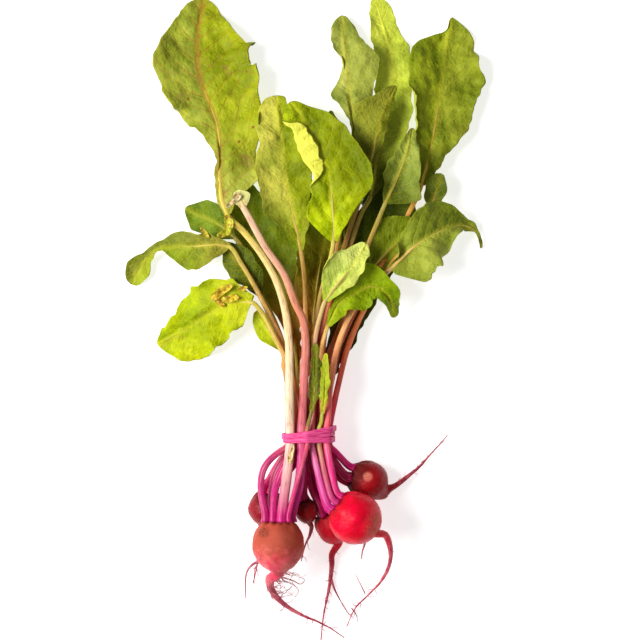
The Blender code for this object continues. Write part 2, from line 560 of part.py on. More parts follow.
def make_blade(leaf, net, collection):
    rows, columns = net.shape[0] - 1, net.shape[1] - 1
    shape = bmesh.new()
    bmesh.ops.create_grid(shape, x_segments=rows, y_segments=columns, size=1)
    for vert in shape.verts:
        i = int(round((vert.co.x + 1) / 2 * rows))
        j = int(round((vert.co.y + 1) / 2 * columns))
        vert.co = net[i, j] * MM
    bmesh.ops.triangulate(shape, faces=shape.faces)
    mesh = bpy.data.meshes.new("leaf_" + leaf["name"])
    shape.to_mesh(mesh)
    shape.free()
    blade = add_object(mesh.name, mesh, "leaf_green", collection)
    solidify = blade.modifiers.new("thickness", "SOLIDIFY")
    solidify.thickness = BLADE_THICKNESS * MM
    solidify.offset = 0
    mesh.shade_smooth()


def band_outline(direction):
    """The outermost place of the bundle in one direction, where the stretched elastic lies."""
    best = None
    for leaf in LEAVES:
        centre = np.array(leaf["slot"])
        reach = leaf["radius"] + STEM_GAP + BAND_THICKNESS / 2
        out = centre @ direction + reach
        if best is None or out > best[0]:
            best = (out, centre + direction * reach)
    return best[1]


def make_band(collection):
    """Three turns of elastic side by side, as one ribbed ring round the stems."""
    around, across = 40, 6
    shape = bmesh.new()
    bmesh.ops.create_grid(shape, x_segments=around, y_segments=across, size=1)
    for vert in shape.verts:
        angle = math.pi * (vert.co.x + 1)
        width = vert.co.y
        direction = np.array((math.cos(angle), math.sin(angle)))
        ridge = BAND_RIDGE * abs(math.sin(math.pi * BAND_STRANDS * width / 2))
        x, z = band_outline(direction) + direction * ridge
        y = width * BAND_WIDTH / 2 + BAND_TILT * x
        vert.co = (BAND_PLACE + (x, y, z)) * MM
    bmesh.ops.remove_doubles(shape, verts=shape.verts, dist=1e-6)
    bmesh.ops.triangulate(shape, faces=shape.faces)
    bmesh.ops.recalc_face_normals(shape, faces=shape.faces)
    mesh = bpy.data.meshes.new("band")
    shape.to_mesh(mesh)
    shape.free()
    band = add_object("band", mesh, "band_pink", collection)
    solidify = band.modifiers.new("thickness", "SOLIDIFY")
    solidify.thickness = BAND_THICKNESS * MM * 0.8
    solidify.offset = 0
    mesh.shade_smooth()


def main():
    clear_scene()
    collection = bpy.data.collections.new(COLLECTION)
    bpy.context.scene.collection.children.link(collection)
    make_beets(collection)
    routes, ribs, headings = zip(*(leaf_line(leaf) for leaf in LEAVES))
    routes = relax_stems(routes, [leaf["radius"] for leaf in LEAVES])
    nets = settle(routes, ribs, headings)
    make_stems(routes, collection)
    for leaf, net in zip(LEAVES, nets):
        make_blade(leaf, net, collection)
    make_band(collection)


main()
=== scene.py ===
"""The look of a tied bunch of small beetroots that lies on its side, seen from straight above.

Sizes and places are in millimetres here, as in the part, and every mesh is scaled to metres as it is made.
"""
import math

import bmesh
import bpy
import numpy as np
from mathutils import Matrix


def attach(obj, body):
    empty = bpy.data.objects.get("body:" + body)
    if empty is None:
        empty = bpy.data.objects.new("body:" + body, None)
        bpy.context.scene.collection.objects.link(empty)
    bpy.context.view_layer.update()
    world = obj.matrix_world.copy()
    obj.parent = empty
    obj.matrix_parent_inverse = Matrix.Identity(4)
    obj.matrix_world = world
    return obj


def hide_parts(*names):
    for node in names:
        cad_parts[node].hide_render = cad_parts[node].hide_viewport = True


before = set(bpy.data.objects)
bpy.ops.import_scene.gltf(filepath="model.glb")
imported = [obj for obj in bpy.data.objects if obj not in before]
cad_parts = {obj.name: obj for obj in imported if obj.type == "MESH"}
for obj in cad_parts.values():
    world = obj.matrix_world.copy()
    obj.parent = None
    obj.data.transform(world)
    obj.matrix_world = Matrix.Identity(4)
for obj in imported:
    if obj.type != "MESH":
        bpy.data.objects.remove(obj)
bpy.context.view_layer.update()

MM = 0.001

# The elastic band and the bundle of stems that it holds
BAND_PLACE = np.array((3.6, -92.8, 26.0))
BAND_THICKNESS = 1.6
STRAIGHT_AT_BAND = 8.0

# Room between neighbouring pieces
BUTT_GAP = 0.3
STEM_GAP = 0.5
LAYER_GAP = 1.0

# Leaf stems and blades
BLADE_THICKNESS = 0.9
STEM_AT_BLADE = 0.72
ROUTE_STEP = 2.5
STRAIGHT_END = 1.5
LIFT_RAMP = 22.0
RELAX_LIMIT_Y = -30.0
RELAX_ROUNDS = 220

# Beets: centre and radius of the bulb, the way its crown faces, and the line that its root follows
BEETS = {
    "front_left": dict(centre=(-20.6, -177.4, 41), radius=20.7, crown_axis=(0, 1, -0.05), crown=0.58,
                       tail=1.05, root_radius=5.2,
                       root=[(-27.5, -208, 28), (-25.5, -219, 16), (-18, -228.5, 10), (-4, -238, 7),
                             (11, -244.5, 6.5), (21, -250, 5.5), (32, -258, 1.8)],
                       side=[(-32, -190, 36), (-41.5, -195.5, 26), (-46.5, -203, 15), (-48, -212, 8),
                             (-48, -226, 3)]),
    "back_left": dict(centre=(-31, -151.2, 13.6), radius=14.1, crown_axis=(0.25, 1, 0.1), crown=0.62,
                      tail=1.05, root_radius=2.8,
                      root=[(-34, -172, 9), (-37, -190, 5), (-39.5, -203, 3), (-42, -214, 1.5)],
                      side=None),
    "back_small": dict(centre=(0.8, -152, 21.5), radius=9, crown_axis=(-0.3, 1, 0.1), crown=0.64, tail=1.25,
                       root_radius=2.2,
                       root=[(5.5, -166, 17), (4, -174, 12), (0.5, -182, 7), (-3, -196, 2.5)],
                       side=None),
    "back_middle": dict(centre=(20.5, -165.5, 12.3), radius=12.5, crown_axis=(-0.5, 1, 0.2), crown=0.64,
                        tail=1.3, root_radius=3.2,
                        root=[(22, -190, 7), (22, -198, 4.5), (20, -216, 3), (15.5, -238, 2),
                              (13, -261, 1.3)],
                        side=[(20.5, -206, 4), (24, -218, 3), (30, -230, 1.8)]),
    "front_right": dict(centre=(40.4, -156.8, 41), radius=21, crown_axis=(-0.8, 0.55, -0.1), crown=0.6,
                        tail=1.0, root_radius=3.2,
                        root=[(64, -170.5, 37), (68, -180, 30), (69, -191, 21), (66.5, -202, 14),
                              (60.5, -213, 8), (50.5, -224, 4), (41, -234, 2.5), (34, -249, 1.5)],
                        side=[(50, -168, 34), (48, -180, 24), (46.5, -186, 17), (46, -193, 10)]),
    "back_right": dict(centre=(51, -129.2, 15.4), radius=16.1, crown_axis=(-0.92, 0.38, 0.1), crown=0.6,
                       tail=1.0, root_radius=2.8,
                       root=[(71.5, -134.5, 12), (77.5, -131, 9), (85, -125.5, 6), (93, -119, 4),
                             (101.5, -109.5, 3), (111, -99.5, 2), (116, -93.5, 1.5)],
                       side=None),
}
ROOT_TIP_RADIUS = 0.8
SIDE_ROOT_RADIUS = 1.3

# Leaves, from the bottom of the heap to the top. Each has the seat of its stem on the crown, for some a
# place that the stem bows out through, the slot of the stem in the tied bundle, the stem's way to the
# blade, the midrib, and the half-widths of the blade at even steps along it, to the left and right of the
# midrib as seen from the stem.
LEAVES = [
    dict(name="inner_left", beet="back_left", seat=(-5.5, 2), slot=(-6.6, -13.5), radius=2.4,
         stalk=[(-5, -66, 9)],
         rib=[(-6, -52, 6), (-8, -20, 5), (-17, 18, 6), (-29, 56, 8), (-41, 86, 7), (-47, 112, 4)],
         left=[2, 3.5, 6, 12, 17, 20, 22, 20, 7], right=[2, 3.5, 7, 12, 18, 21, 22, 14, 4]),
    dict(name="inner_middle", beet="back_middle", seat=(-1, 4.2), bow=[(2, -132, 13)], slot=(0, -13.5),
         radius=2.4, stalk=[(3.5, -66, 8)],
         rib=[(5, -46, 5), (6, -10, 5), (10, 30, 6), (16, 70, 8), (22, 105, 7), (24, 140, 6), (21, 170, 4)],
         left=[2, 5, 10, 15, 20, 22, 20, 16, 12, 8, 3], right=[2, 8, 14, 16, 18, 20, 18, 15, 14, 9, 3]),
    dict(name="inner_right", beet="back_right", seat=(-7.2, -1), slot=(6.6, -13.5), radius=2.4,
         stalk=[(14, -68, 8)],
         rib=[(18, -54, 5), (29, -18, 5), (46, 24, 6), (62, 60, 8), (73, 86, 7), (81, 114, 4)],
         left=[3, 8, 13, 18, 25, 32, 33, 27, 14], right=[2, 6, 11, 13, 15, 18, 20, 17, 10]),
    dict(name="left_small", beet="back_left", seat=(-3.6, -3.2), slot=(-9.9, -9.0), radius=2.5,
         stalk=[(-10, -64, 12), (-18, -24, 6), (-37, 24, 4), (-50, 57, 5)],
         rib=[(-56, 66, 6), (-71, 78, 5), (-84, 84.5, 1), (-97, 91, -4)],
         left=[1.6, 10, 14, 12, 2], right=[1.6, 12, 14, 12, 2]),
    dict(name="top_tall", beet="back_left", seat=(3, -2.8), slot=(-3.3, -9.0), radius=2.6,
         stalk=[(4, -57, 10), (14, -8, 5), (33, 48, 5), (46, 86, 5)],
         rib=[(53, 99, 6), (58, 129, 8), (67, 162, 7), (71, 194, 4), (67, 227, 1), (57, 262, -4)],
         left=[2, 10, 14, 18, 18, 16, 14, 14, 13, 13, 13, 13, 14, 12.5, 9.5, 8.5, 5],
         right=[2, 10, 13, 14, 17, 18, 19, 18, 16, 15, 16, 16, 14, 10, 11, 10, 6]),
    dict(name="right_tall", beet="back_right", seat=(-2.4, -3.6), slot=(9.9, -9.0), radius=2.6,
         stalk=[(16, -57, 10), (33, -8, 5), (63, 47, 5), (84, 86, 5)],
         rib=[(94, 108, 6), (104, 151, 7), (109, 184, 5), (113, 210, 1), (120, 246, -4)],
         left=[1.6, 6, 10, 14, 17, 20, 22, 24, 26, 28, 29.5, 28, 13, 3, 2],
         right=[2.4, 8, 10, 15, 22, 25, 28, 31, 33, 33, 31, 28, 23, 14, 2.4]),
    dict(name="right_middle", beet="back_middle", seat=(-2.6, -1.6), slot=(3.3, -9.0), radius=2.5,
         stalk=[(11, -57, 12), (24, -16, 9), (38, 16, 9)],
         rib=[(50, 36, 10), (64, 52, 12), (78, 66, 12), (92, 80, 9)],
         left=[2.4, 16, 22, 20, 4], right=[2.4, 8, 10, 8, 2]),
    dict(name="back_left", beet="front_left", seat=(-4.7, -4.4), bow=[(-29, -128, 26)], slot=(-13.2, -4.5),
         radius=2.5, stalk=[(-11, -64, 18), (-15, -28, 14), (-28, 8, 10)],
         rib=[(-35, 19, 9), (-44, 34, 10), (-54, 47, 10), (-65, 62, 6)],
         left=[2, 8, 12, 9, 2], right=[2, 10, 14, 12, 2]),
    dict(name="left_under", beet="back_left", seat=(0.5, 3.6), slot=(-6.6, -4.5), radius=2.4,
         stalk=[(-7, -66, 17), (-11, -42, 16)],
         rib=[(-16, -26, 15), (-24, -14, 15), (-32, -4, 13), (-38, 8, 9)],
         left=[2, 7, 10, 8, 3], right=[2, 4, 7, 7, 2]),
    dict(name="top_pale", beet="back_small", seat=(2.6, -0.5), slot=(0, -4.5), radius=2.5,
         stalk=[(5, -56, 17), (14, 0, 12), (29, 73, 10), (38, 113, 9)],
         rib=[(41, 129, 10), (38, 162, 13), (35, 193, 13), (32, 222, 10), (30, 247, 5)],
         left=[1.6, 2.4, 2.4, 4, 6, 12, 17, 5, 2, 5, 12, 9, 3],
         right=[1.6, 6, 10, 11, 14, 18, 22, 24, 25, 22, 14, 8, 4]),
    dict(name="right_folded", beet="back_right", seat=(-3.2, 4.4), slot=(13.2, -4.5), radius=2.5,
         stalk=[(20, -56, 17), (31, -8, 14), (48, 52, 14), (60, 82, 14)],
         rib=[(65, 94, 16), (72, 109, 20), (80, 128, 22), (87, 154, 18)],
         left=[2.4, 8, 12, 10, 6, 2], right=[3, 22, 20, 13, 8, 2]),
    dict(name="top_front", beet="back_middle", seat=(3.2, 0.6), slot=(6.6, -4.5), radius=2.5,
         stalk=[(12, -56, 20), (19, 8, 18), (36, 72, 18), (49, 110, 20)],
         rib=[(53, 126, 22), (57, 145, 24), (63, 166, 24), (73, 188, 18)],
         left=[2.4, 14, 20, 21, 11, 2], right=[2, 5, 7, 6, 5, 2]),
    dict(name="left_curled", beet="front_left", seat=(-10, 0.5), bow=[(-37, -131, 34), (-37, -113, 31)],
         slot=(-16.5, 0), radius=2.5, stalk=[(-11, -64, 22), (-15, -26, 18), (-33, 14, 14), (-51, 46, 13)],
         rib=[(-60.5, 59, 14), (-84, 59, 16), (-103, 59, 15), (-117, 57.5, 12), (-127, 50, 8),
              (-136, 38.5, 5), (-141, 29, 3)],
         left=[2.4, 10, 15, 19, 20, 4, 2, 3, 10, 11, 5], right=[2.4, 7, 9, 12, 12, 8.5, 5, 6, 8, 11, 5]),
    dict(name="left_low", beet="front_left", seat=(-4, 2.2), bow=[(-26, -132, 37)], slot=(-9.9, 0),
         radius=2.5, stalk=[(-9, -64, 22), (-14, -34, 18), (-25, -11, 14), (-34, 6, 11)],
         rib=[(-42, 14, 11), (-55, 14, 12), (-70, 9, 11), (-88, -2, 8), (-102, -11, 5), (-120, -19.5, 1)],
         left=[8, 20, 22, 23, 26, 28, 28, 17, 3], right=[6, 14, 22, 26, 23, 18, 13, 10, 2.4]),
    dict(name="left_broad", beet="front_left", seat=(3.2, 3.8), slot=(-14.8, 5.9), radius=3.5,
         stalk=[(-11.5, -64, 31), (-12, -20, 30), (-15, 6, 28), (-22, 30, 26), (-34, 52, 24), (-49, 71, 22)],
         rib=[(-62, 84, 21), (-68, 109, 18), (-69, 150, 16), (-76, 173, 14), (-84, 194, 11), (-87, 222, 7),
              (-83, 261, 2)],
         left=[2.4, 3, 3.5, 3, 3, 6, 14, 18, 24, 31, 34, 30, 41, 28, 20, 15, 9],
         right=[3, 12, 30, 32, 30, 31, 33, 39, 44, 45, 43, 43, 48, 42, 28, 17, 9]),
    dict(name="right_small", beet="back_right", seat=(5.5, 1.5), bow=[(30, -109, 23)], slot=(16.5, 0),
         radius=2.5,
         stalk=[(25, -60, 22), (37, -16, 17), (56, 23, 13), (75, 51, 12), (90, 62, 13), (98, 80, 14)],
         rib=[(102, 90, 15), (106, 104, 17), (110, 118, 15)],
         left=[2, 10, 11, 3], right=[2, 7, 8, 2]),
    dict(name="centre_left", beet="back_small", seat=(-2.6, 0.6), slot=(-3.3, 0), radius=2.5,
         stalk=[(0, -56, 25), (1, -20, 24), (1, 8, 24), (0, 33, 26)],
         rib=[(-3, 56, 28), (-10, 88, 30), (-15, 111, 30), (-18, 139, 28), (-23, 180, 22)],
         left=[2.4, 8, 16, 19, 22, 23, 23, 22, 20, 18, 17, 16, 9],
         right=[2.4, 6, 10, 14, 18, 20, 21, 19, 16, 13, 11, 10, 7]),
    dict(name="centre_bright", beet="front_right", seat=(-6, -2.5), slot=(3.3, 0), radius=2.5,
         stalk=[(8, -56, 26), (8, -20, 25), (12, 16, 27), (20, 46, 32)],
         rib=[(23, 62, 35), (22, 92, 37), (19, 114, 37), (12, 137, 35), (1, 157, 31), (-12, 174, 25)],
         left=[2, 18, 20, 14, 24, 33, 30, 18, 4], right=[3, 10, 25, 34, 35, 27, 22, 12, 3]),
    dict(name="right_low", beet="front_right", seat=(8.2, 1), slot=(14.2, 5.4), radius=2.7,
         stalk=[(19, -60, 30), (24, -30, 26), (36, 3, 21), (54, 28, 18)],
         rib=[(69, 41, 17), (88, 59, 17), (104, 69, 15), (122, 76, 12), (133, 75.5, 8), (141, 69, 5),
              (143.5, 58, 2)],
         left=[2.4, 5, 12, 19, 25, 25, 14, 3, 1.8, 1.5], right=[6, 25, 28, 25, 23, 15, 6, 2, 1.8, 1.5]),
    dict(name="right_front", beet="front_right", seat=(3.2, -4.6), slot=(9.9, 0), radius=2.4,
         stalk=[(14, -60, 26), (13.5, -26, 26)],
         rib=[(18, -6, 28), (27, 13, 30), (41, 22, 31), (55, 27, 30), (67, 18, 26), (72.5, 2, 16)],
         left=[2, 3, 7, 12, 17, 13, 7, 3], right=[2, 9, 8, 14, 16, 10, 5, 4, 3]),
    dict(name="front_pale", beet="front_right", seat=(-3.5, 3.6), slot=(2.6, 5.8), radius=2.4,
         stalk=[(7, -60, 31), (8, -20, 34), (12, 1, 38)],
         rib=[(17, 16, 41), (26, 28, 43), (38, 43, 44), (49, 61, 38)],
         left=[2, 12, 21, 22, 9, 3], right=[3, 6, 9, 11, 8, 3]),
    dict(name="front_dark", beet="front_left", seat=(8.4, 5.4), slot=(-1.3, 10.9), radius=1.7,
         stalk=[(3.6, -81, 38)],
         rib=[(5.5, -73, 39.5), (8, -58, 41), (8.5, -38, 42), (9, -18, 42)],
         left=[1.5, 3, 4, 4.5, 3, 1.5], right=[1.5, 4, 4.5, 4, 3.5, 1.5]),
    dict(name="front_small", beet="front_right", seat=(2.5, 3.8), slot=(8.4, 5.5), radius=2.1,
         stalk=[(13.5, -81, 32)],
         rib=[(14, -75, 34), (16, -60, 38), (16.5, -44, 40), (17, -26, 38)],
         left=[1.5, 3, 4, 3.5, 1.5], right=[1.5, 3, 4, 3.5, 1.5]),
    dict(name="front_broken", beet="front_left", seat=(10, -0.8), bow=[(-3, -134, 39)], slot=(-5.6, 6.4),
         radius=3.5, stalk=[(-1, -64, 34), (1, -19, 36), (-1, 0, 38), (-7, 13, 41), (-16, 36, 44),
                            (-31, 58, 46), (-44, 82, 46)],
         rib=[(-48, 89, 46), (-50, 95, 46), (-54, 102, 44)],
         left=[2.4, 7, 2], right=[2.4, 9, 2]),
]
WAVE_SPACING = 30.0
WAVE_SHARE = 0.13
SCALLOP_SHARE = 0.07
TROUGH_SHARE = 0.16
ROW_SPACING = 13.0
COLUMN_SPACING = 12.0
SAMPLES_PER_CELL = 8
STIFF_WIDTH = 10.0
SUPPLE_WIDTH = 40.0

# Fineness of the finished surfaces
BLADE_STEP = 1.7
BLADE_COLUMNS = 40
STEM_STEP = 2.0
STEM_SIDES = 16
BULB_STEP = 1.1
BEET_AROUND = 72
FINE_BLADE = 0.5

# The camera looks straight down on the middle of the bunch, and its frame is this wide at this height
VIEW_MIDDLE = (12.4, 0.0)
VIEW_WIDTH = 512.0
VIEW_HEIGHT = 25.0
VIEW_DISTANCE = 1500.0
SENSOR = 36.0

# A soft key light from the left, a weak sky, and a floor that glows enough to stay white
KEY_PLACE = (-1.05, 0.05, 1.10)
KEY_SIZE = 0.95
KEY_POWER = 31.0
SKY_STRENGTH = 0.28
FLOOR_GLOW = 0.66
FLOOR_TONE = (0.72, 0.72, 0.72)

# The tones of each leaf, 0 to 255 as on a screen: its left half and its right half, which differ by painted
# light and shade, one half lit and the other shaded, its base, and the share of rust-brown marks
LEAF_TONES = {
    "inner_left": ((128, 138, 14), (110, 126, 12), (160, 102, 32), 0.1),
    "inner_middle": ((112, 128, 12), (106, 120, 10), (150, 96, 28), 0.1),
    "inner_right": ((66, 80, 10), (82, 96, 16), (88, 68, 16), 0.1),
    "left_small": ((112, 136, 26), (98, 122, 20), (80, 96, 18), 0.2),
    "top_tall": ((199, 209, 68), (204, 215, 70), (85, 96, 11), 0.3),
    "right_tall": ((147, 160, 28), (151, 161, 40), (100, 112, 14), 0.2),
    "right_middle": ((127, 144, 25), (147, 161, 35), (72, 84, 10), 0.1),
    "back_left": ((96, 108, 22), (84, 98, 20), (60, 66, 12), 0.2),
    "left_under": ((168, 184, 20), (158, 174, 20), (150, 160, 30), 0.5),
    "top_pale": ((169, 175, 78), (158, 166, 66), (100, 108, 25), 0.2),
    "right_folded": ((145, 157, 58), (161, 173, 74), (95, 108, 24), 0.1),
    "top_front": ((148, 152, 44), (111, 118, 19), (80, 86, 9), 0.2),
    "left_curled": ((153, 167, 32), (126, 133, 37), (138, 135, 45), 0.5),
    "left_low": ((188, 198, 5), (177, 192, 4), (184, 190, 24), 0.3),
    "left_broad": ((158, 168, 50), (162, 173, 22), (178, 183, 72), 1.0),
    "right_small": ((118, 131, 40), (106, 122, 34), (91, 99, 23), 0.1),
    "centre_left": ((199, 196, 74), (142, 154, 12), (146, 160, 16), 0.4),
    "centre_bright": ((169, 186, 6), (138, 151, 3), (186, 203, 6), 0.2),
    "right_low": ((120, 134, 32), (164, 174, 64), (150, 162, 50), 0.2),
    "right_front": ((142, 168, 6), (131, 157, 5), (178, 200, 26), 0.2),
    "front_pale": ((230, 240, 122), (215, 224, 104), (168, 191, 50), 0.1),
    "front_dark": ((84, 104, 16), (66, 82, 12), (110, 110, 20), 0.5),
    "front_small": ((184, 198, 44), (170, 186, 36), (200, 190, 60), 0.3),
    "front_broken": ((214, 214, 140), (206, 206, 130), (226, 196, 140), 0.1),
}
LEAF_VEIN = (206, 194, 56)
LEAF_RIM = (204, 210, 40)
LEAF_FLAP = (242, 238, 90)
LEAF_PALE = (176, 188, 90)
RUST = (134, 74, 34)
RUST_VEIN = (166, 90, 44)
LEAF_BROWN = (150, 112, 66)
WITHERED_DARK = (150, 104, 24)

# The tones of each stem: at the crown, below the band, above it, halfway up and at the blade
STEM_TONES = {
    "left_broad": ((206, 12, 120), (244, 186, 176), (252, 222, 184), (250, 220, 158), (222, 200, 74)),
    "front_broken": ((200, 10, 120), (214, 48, 140), (226, 116, 120), (226, 142, 108), (236, 196, 156)),
    "left_low": ((196, 10, 112), (206, 40, 126), (196, 100, 66), (206, 156, 70), (200, 186, 60)),
    "left_curled": ((186, 10, 104), (200, 48, 120), (196, 104, 76), (204, 148, 76), (200, 182, 70)),
    "back_left": ((180, 15, 100), (196, 60, 116), (156, 84, 52), (160, 122, 60), (150, 148, 52)),
    "centre_left": ((190, 15, 110), (206, 40, 134), (180, 62, 72), (190, 124, 60), (212, 172, 72)),
    "centre_bright": ((206, 20, 118), (216, 52, 144), (204, 74, 82), (176, 124, 52), (202, 190, 62)),
    "front_pale": ((206, 25, 130), (226, 92, 164), (204, 92, 88), (218, 142, 112), (212, 190, 112)),
    "front_dark": ((204, 20, 110), (220, 64, 116), (214, 96, 90), (150, 130, 46), (110, 115, 25)),
    "front_small": ((200, 40, 120), (196, 92, 96), (196, 186, 60), (190, 192, 52), (182, 188, 44)),
    "right_low": ((210, 8, 110), (240, 44, 128), (250, 92, 100), (255, 180, 106), (246, 206, 112)),
    "right_front": ((206, 8, 106), (232, 30, 114), (244, 60, 98), (255, 154, 98), (230, 194, 82)),
    "right_small": ((202, 8, 106), (236, 30, 126), (250, 74, 98), (255, 162, 72), (232, 184, 82)),
    "right_tall": ((196, 6, 100), (230, 18, 112), (250, 62, 90), (255, 146, 70), (230, 180, 76)),
}
STEM_TONE_ELSE = ((182, 5, 88), (204, 12, 100), (214, 52, 80), (196, 120, 58), (170, 160, 50))
STEM_LIGHT = (255, 196, 190)
STEM_DARK = (120, 10, 36)
STEM_BROWN = (150, 92, 46)

# The tones of each beet: its body, a lighter tone laid in patches as a painted highlight, and its cork, and
# how far the cork reaches down from the crown
BEET_TONES = {
    "front_left": ((220, 40, 76), (232, 104, 104), (170, 74, 44), 0.56),
    "back_left": ((132, 8, 26), (156, 24, 38), (90, 20, 16), 0.20),
    "back_small": ((128, 8, 16), (156, 24, 30), (70, 18, 12), 0.25),
    "back_middle": ((200, 4, 30), (220, 30, 52), (106, 18, 14), 0.12),
    "front_right": ((218, 0, 34), (246, 2, 52), (150, 24, 30), 0.05),
    "back_right": ((146, 4, 16), (170, 16, 26), (80, 14, 10), 0.28),
}
ROOT_DARK = (150, 44, 66)
ROOT_LIGHT = (206, 104, 116)
# The band's own pink, and a lighter pink laid in streaks as a painted highlight
BAND_DARK = (222, 36, 118)
BAND_HIGHLIGHT = (250, 110, 168)

# Rough places in the skin: beet, middle, reach, tone and how ragged it is
SCARS = {
    "front_right": [((54, -160, 50), 15, (206, 118, 92), 1.0)],
    "back_right": [((50.5, -125, 30), 5, (236, 132, 112), 0.4)],
    "front_left": [((-32, -166, 55), 7, (96, 44, 30), 1.0), ((-12, -187, 46), 15, (186, 96, 72), 0.6)],
}


def unit(vector):
    vector = np.asarray(vector, dtype=float)
    return vector / np.linalg.norm(vector)


def distances(line):
    """How far along a line each of its places is."""
    return np.concatenate(([0], np.cumsum(np.linalg.norm(np.diff(line, axis=0), axis=1))))


def read_at(wanted, known, places):
    """Places at the wanted values, from the places at known ones."""
    return np.column_stack([np.interp(wanted, known, column) for column in np.transpose(places)])


def smooth_line(points, step):
    """Places at even steps on one smooth curve through the given points."""
    points = np.asarray(points, dtype=float)
    knots = np.concatenate(([0], np.cumsum(np.sqrt(np.linalg.norm(np.diff(points, axis=0), axis=1)))))
    slopes = np.gradient(points, knots, axis=0)
    dense = []
    for k in range(len(points) - 1):
        span = knots[k + 1] - knots[k]
        t = np.linspace(0, 1, 40, endpoint=False)[:, None]
        dense.append((2 * t**3 - 3 * t**2 + 1) * points[k] + (t**3 - 2 * t**2 + t) * span * slopes[k]
                     + (3 * t**2 - 2 * t**3) * points[k + 1] + (t**3 - t**2) * span * slopes[k + 1])
    dense = np.vstack(dense + [points[-1:]])
    length = distances(dense)
    count = max(2, int(round(length[-1] / step)) + 1)
    return read_at(np.linspace(0, length[-1], count), length, dense)


def crown_frame(beet):
    """The middle of a beet's crown, the way that it faces, and two directions across it."""
    axis = unit(beet["crown_axis"])
    across = unit(np.cross(axis, (0, 0, 1)))
    up = np.cross(across, axis)
    middle = np.array(beet["centre"]) + axis * beet["radius"] * math.sqrt(1 - beet["crown"] ** 2)
    return middle, axis, across, up


def leaf_line(leaf):
    """The line of a leaf's stem from the crown through the band, and the line of its midrib."""
    middle, axis, across, up = crown_frame(BEETS[leaf["beet"]])
    seat = middle + axis * BUTT_GAP + across * leaf["seat"][0] + up * leaf["seat"][1]
    slot = BAND_PLACE + (leaf["slot"][0], 0, leaf["slot"][1])
    straight = np.array((0, STRAIGHT_AT_BAND, 0))
    below = [seat, seat + axis * 7] + leaf.get("bow", []) + [slot - straight]
    points = below + [slot, slot + straight] + leaf["stalk"] + leaf["rib"]
    line = smooth_line(points, ROUTE_STEP)
    base = int(np.argmin(np.linalg.norm(line - leaf["rib"][0], axis=1)))
    heading = unit(line[base + 1] - line[base - 1])
    end = line[base] - heading * BUTT_GAP
    return np.vstack((line[:base - 1], end - heading * STRAIGHT_END, end)), line[base:], heading


def relax_stems(routes, radii):
    """Pushes the stems apart between the crowns and the place where they fan out."""
    owner = np.concatenate([np.full(len(line), k) for k, line in enumerate(routes)])
    place = np.vstack(routes)
    radius = np.array(radii)[owner]
    order = np.concatenate([np.arange(len(line)) for line in routes])
    near_band = np.abs(place[:, 1] - BAND_PLACE[1]) < STRAIGHT_AT_BAND + 1
    free = (order > 3) & ~near_band & (place[:, 1] < RELAX_LIMIT_Y)
    free &= np.concatenate([np.arange(len(line), 0, -1) > 5 for line in routes])
    bulbs = [(np.array(beet["centre"], dtype=float), beet["radius"]) for beet in BEETS.values()]
    own = np.array([list(BEETS).index(leaf["beet"]) for leaf in LEAVES])[owner]
    active = place[:, 1] < RELAX_LIMIT_Y + 10
    index = np.flatnonzero(active)
    different = owner[index][:, None] != owner[index][None, :]
    reach = radius[index][:, None] + radius[index][None, :] + STEM_GAP
    for _ in range(RELAX_ROUNDS):
        here = place[index]
        away = here[:, None, :] - here[None, :, :]
        distance = np.linalg.norm(away, axis=2) + 1e-6
        push = np.where(different, np.maximum(reach - distance, 0), 0)
        push = np.where(push < reach * 0.8, push, 0)
        move = (away / distance[..., None] * push[..., None]).sum(axis=1)
        count = np.maximum((push > 0).sum(axis=1), 1)[:, None]
        step = np.zeros_like(place)
        step[index] = 0.5 * move / count
        for k, (centre, bulb) in enumerate(bulbs):
            from_bulb = place - centre
            far = np.linalg.norm(from_bulb, axis=1) + 1e-6
            short = np.maximum(bulb + radius + STEM_GAP - far, 0) * (own != k)
            step += from_bulb / far[:, None] * short[:, None]
        place = place + step * free[:, None]
        middle = (np.roll(place, 1, axis=0) + np.roll(place, -1, axis=0)) / 2
        place = np.where(free[:, None], place + 0.22 * (middle - place), place)
    return [place[owner == k] for k in range(len(routes))]


def blade_net(leaf, rib, heading):
    """The unlifted blade as a coarse net of places: rows along the midrib, columns across."""
    length = np.linalg.norm(np.diff(rib, axis=0), axis=1).sum()
    rows = max(4, int(round(length / ROW_SPACING)))
    widest = max(leaf["left"]) + max(leaf["right"])
    columns = max(4, 2 * int(round(widest / COLUMN_SPACING / 2)))
    u = np.linspace(0, 1, rows + 1)
    even = np.linspace(0, 1, len(rib))
    middle = read_at(u, even, rib)
    slope = np.gradient(rib, axis=0)
    slope[0] = heading
    ahead = read_at(u, even, slope)
    ahead /= np.linalg.norm(ahead, axis=1)[:, None]
    side = np.cross((0, 0, 1), ahead)
    side /= np.linalg.norm(side, axis=1)[:, None]
    up = np.cross(ahead, side)
    waves = max(1, round(length / WAVE_SPACING))
    phase = 1.7 * LEAVES.index(leaf)
    net = np.zeros((rows + 1, columns + 1, 3))
    for j, v in enumerate(np.linspace(-1, 1, columns + 1)):
        stations = leaf["right"] if v < 0 else leaf["left"]
        widths = np.interp(u, np.linspace(0, 1, len(stations)), stations)
        turn = 2 * math.pi * waves * u + phase + (2.1 if v < 0 else 0)
        across = v * widths * (1 + SCALLOP_SHARE * np.sin(turn * 1.5) * abs(v))
        rise = widths * (TROUGH_SHARE * abs(v) ** 1.5 + WAVE_SHARE * v * v * np.sin(turn))
        net[:, j] = middle + side * across[:, None] + up * rise[:, None]
    net[..., 2] = np.maximum(net[..., 2], BLADE_THICKNESS / 2)
    return net


def fine_net(net):
    """Many places on the flat panels of a net."""
    rows, columns = net.shape[0] - 1, net.shape[1] - 1
    u = np.linspace(0, rows, rows * SAMPLES_PER_CELL + 1)
    v = np.linspace(0, columns, columns * SAMPLES_PER_CELL + 1)
    for axis, steps in ((0, u), (1, v)):
        even = np.arange(net.shape[axis])
        net = np.apply_along_axis(lambda line: np.interp(steps, even, line), axis, net)
    return net


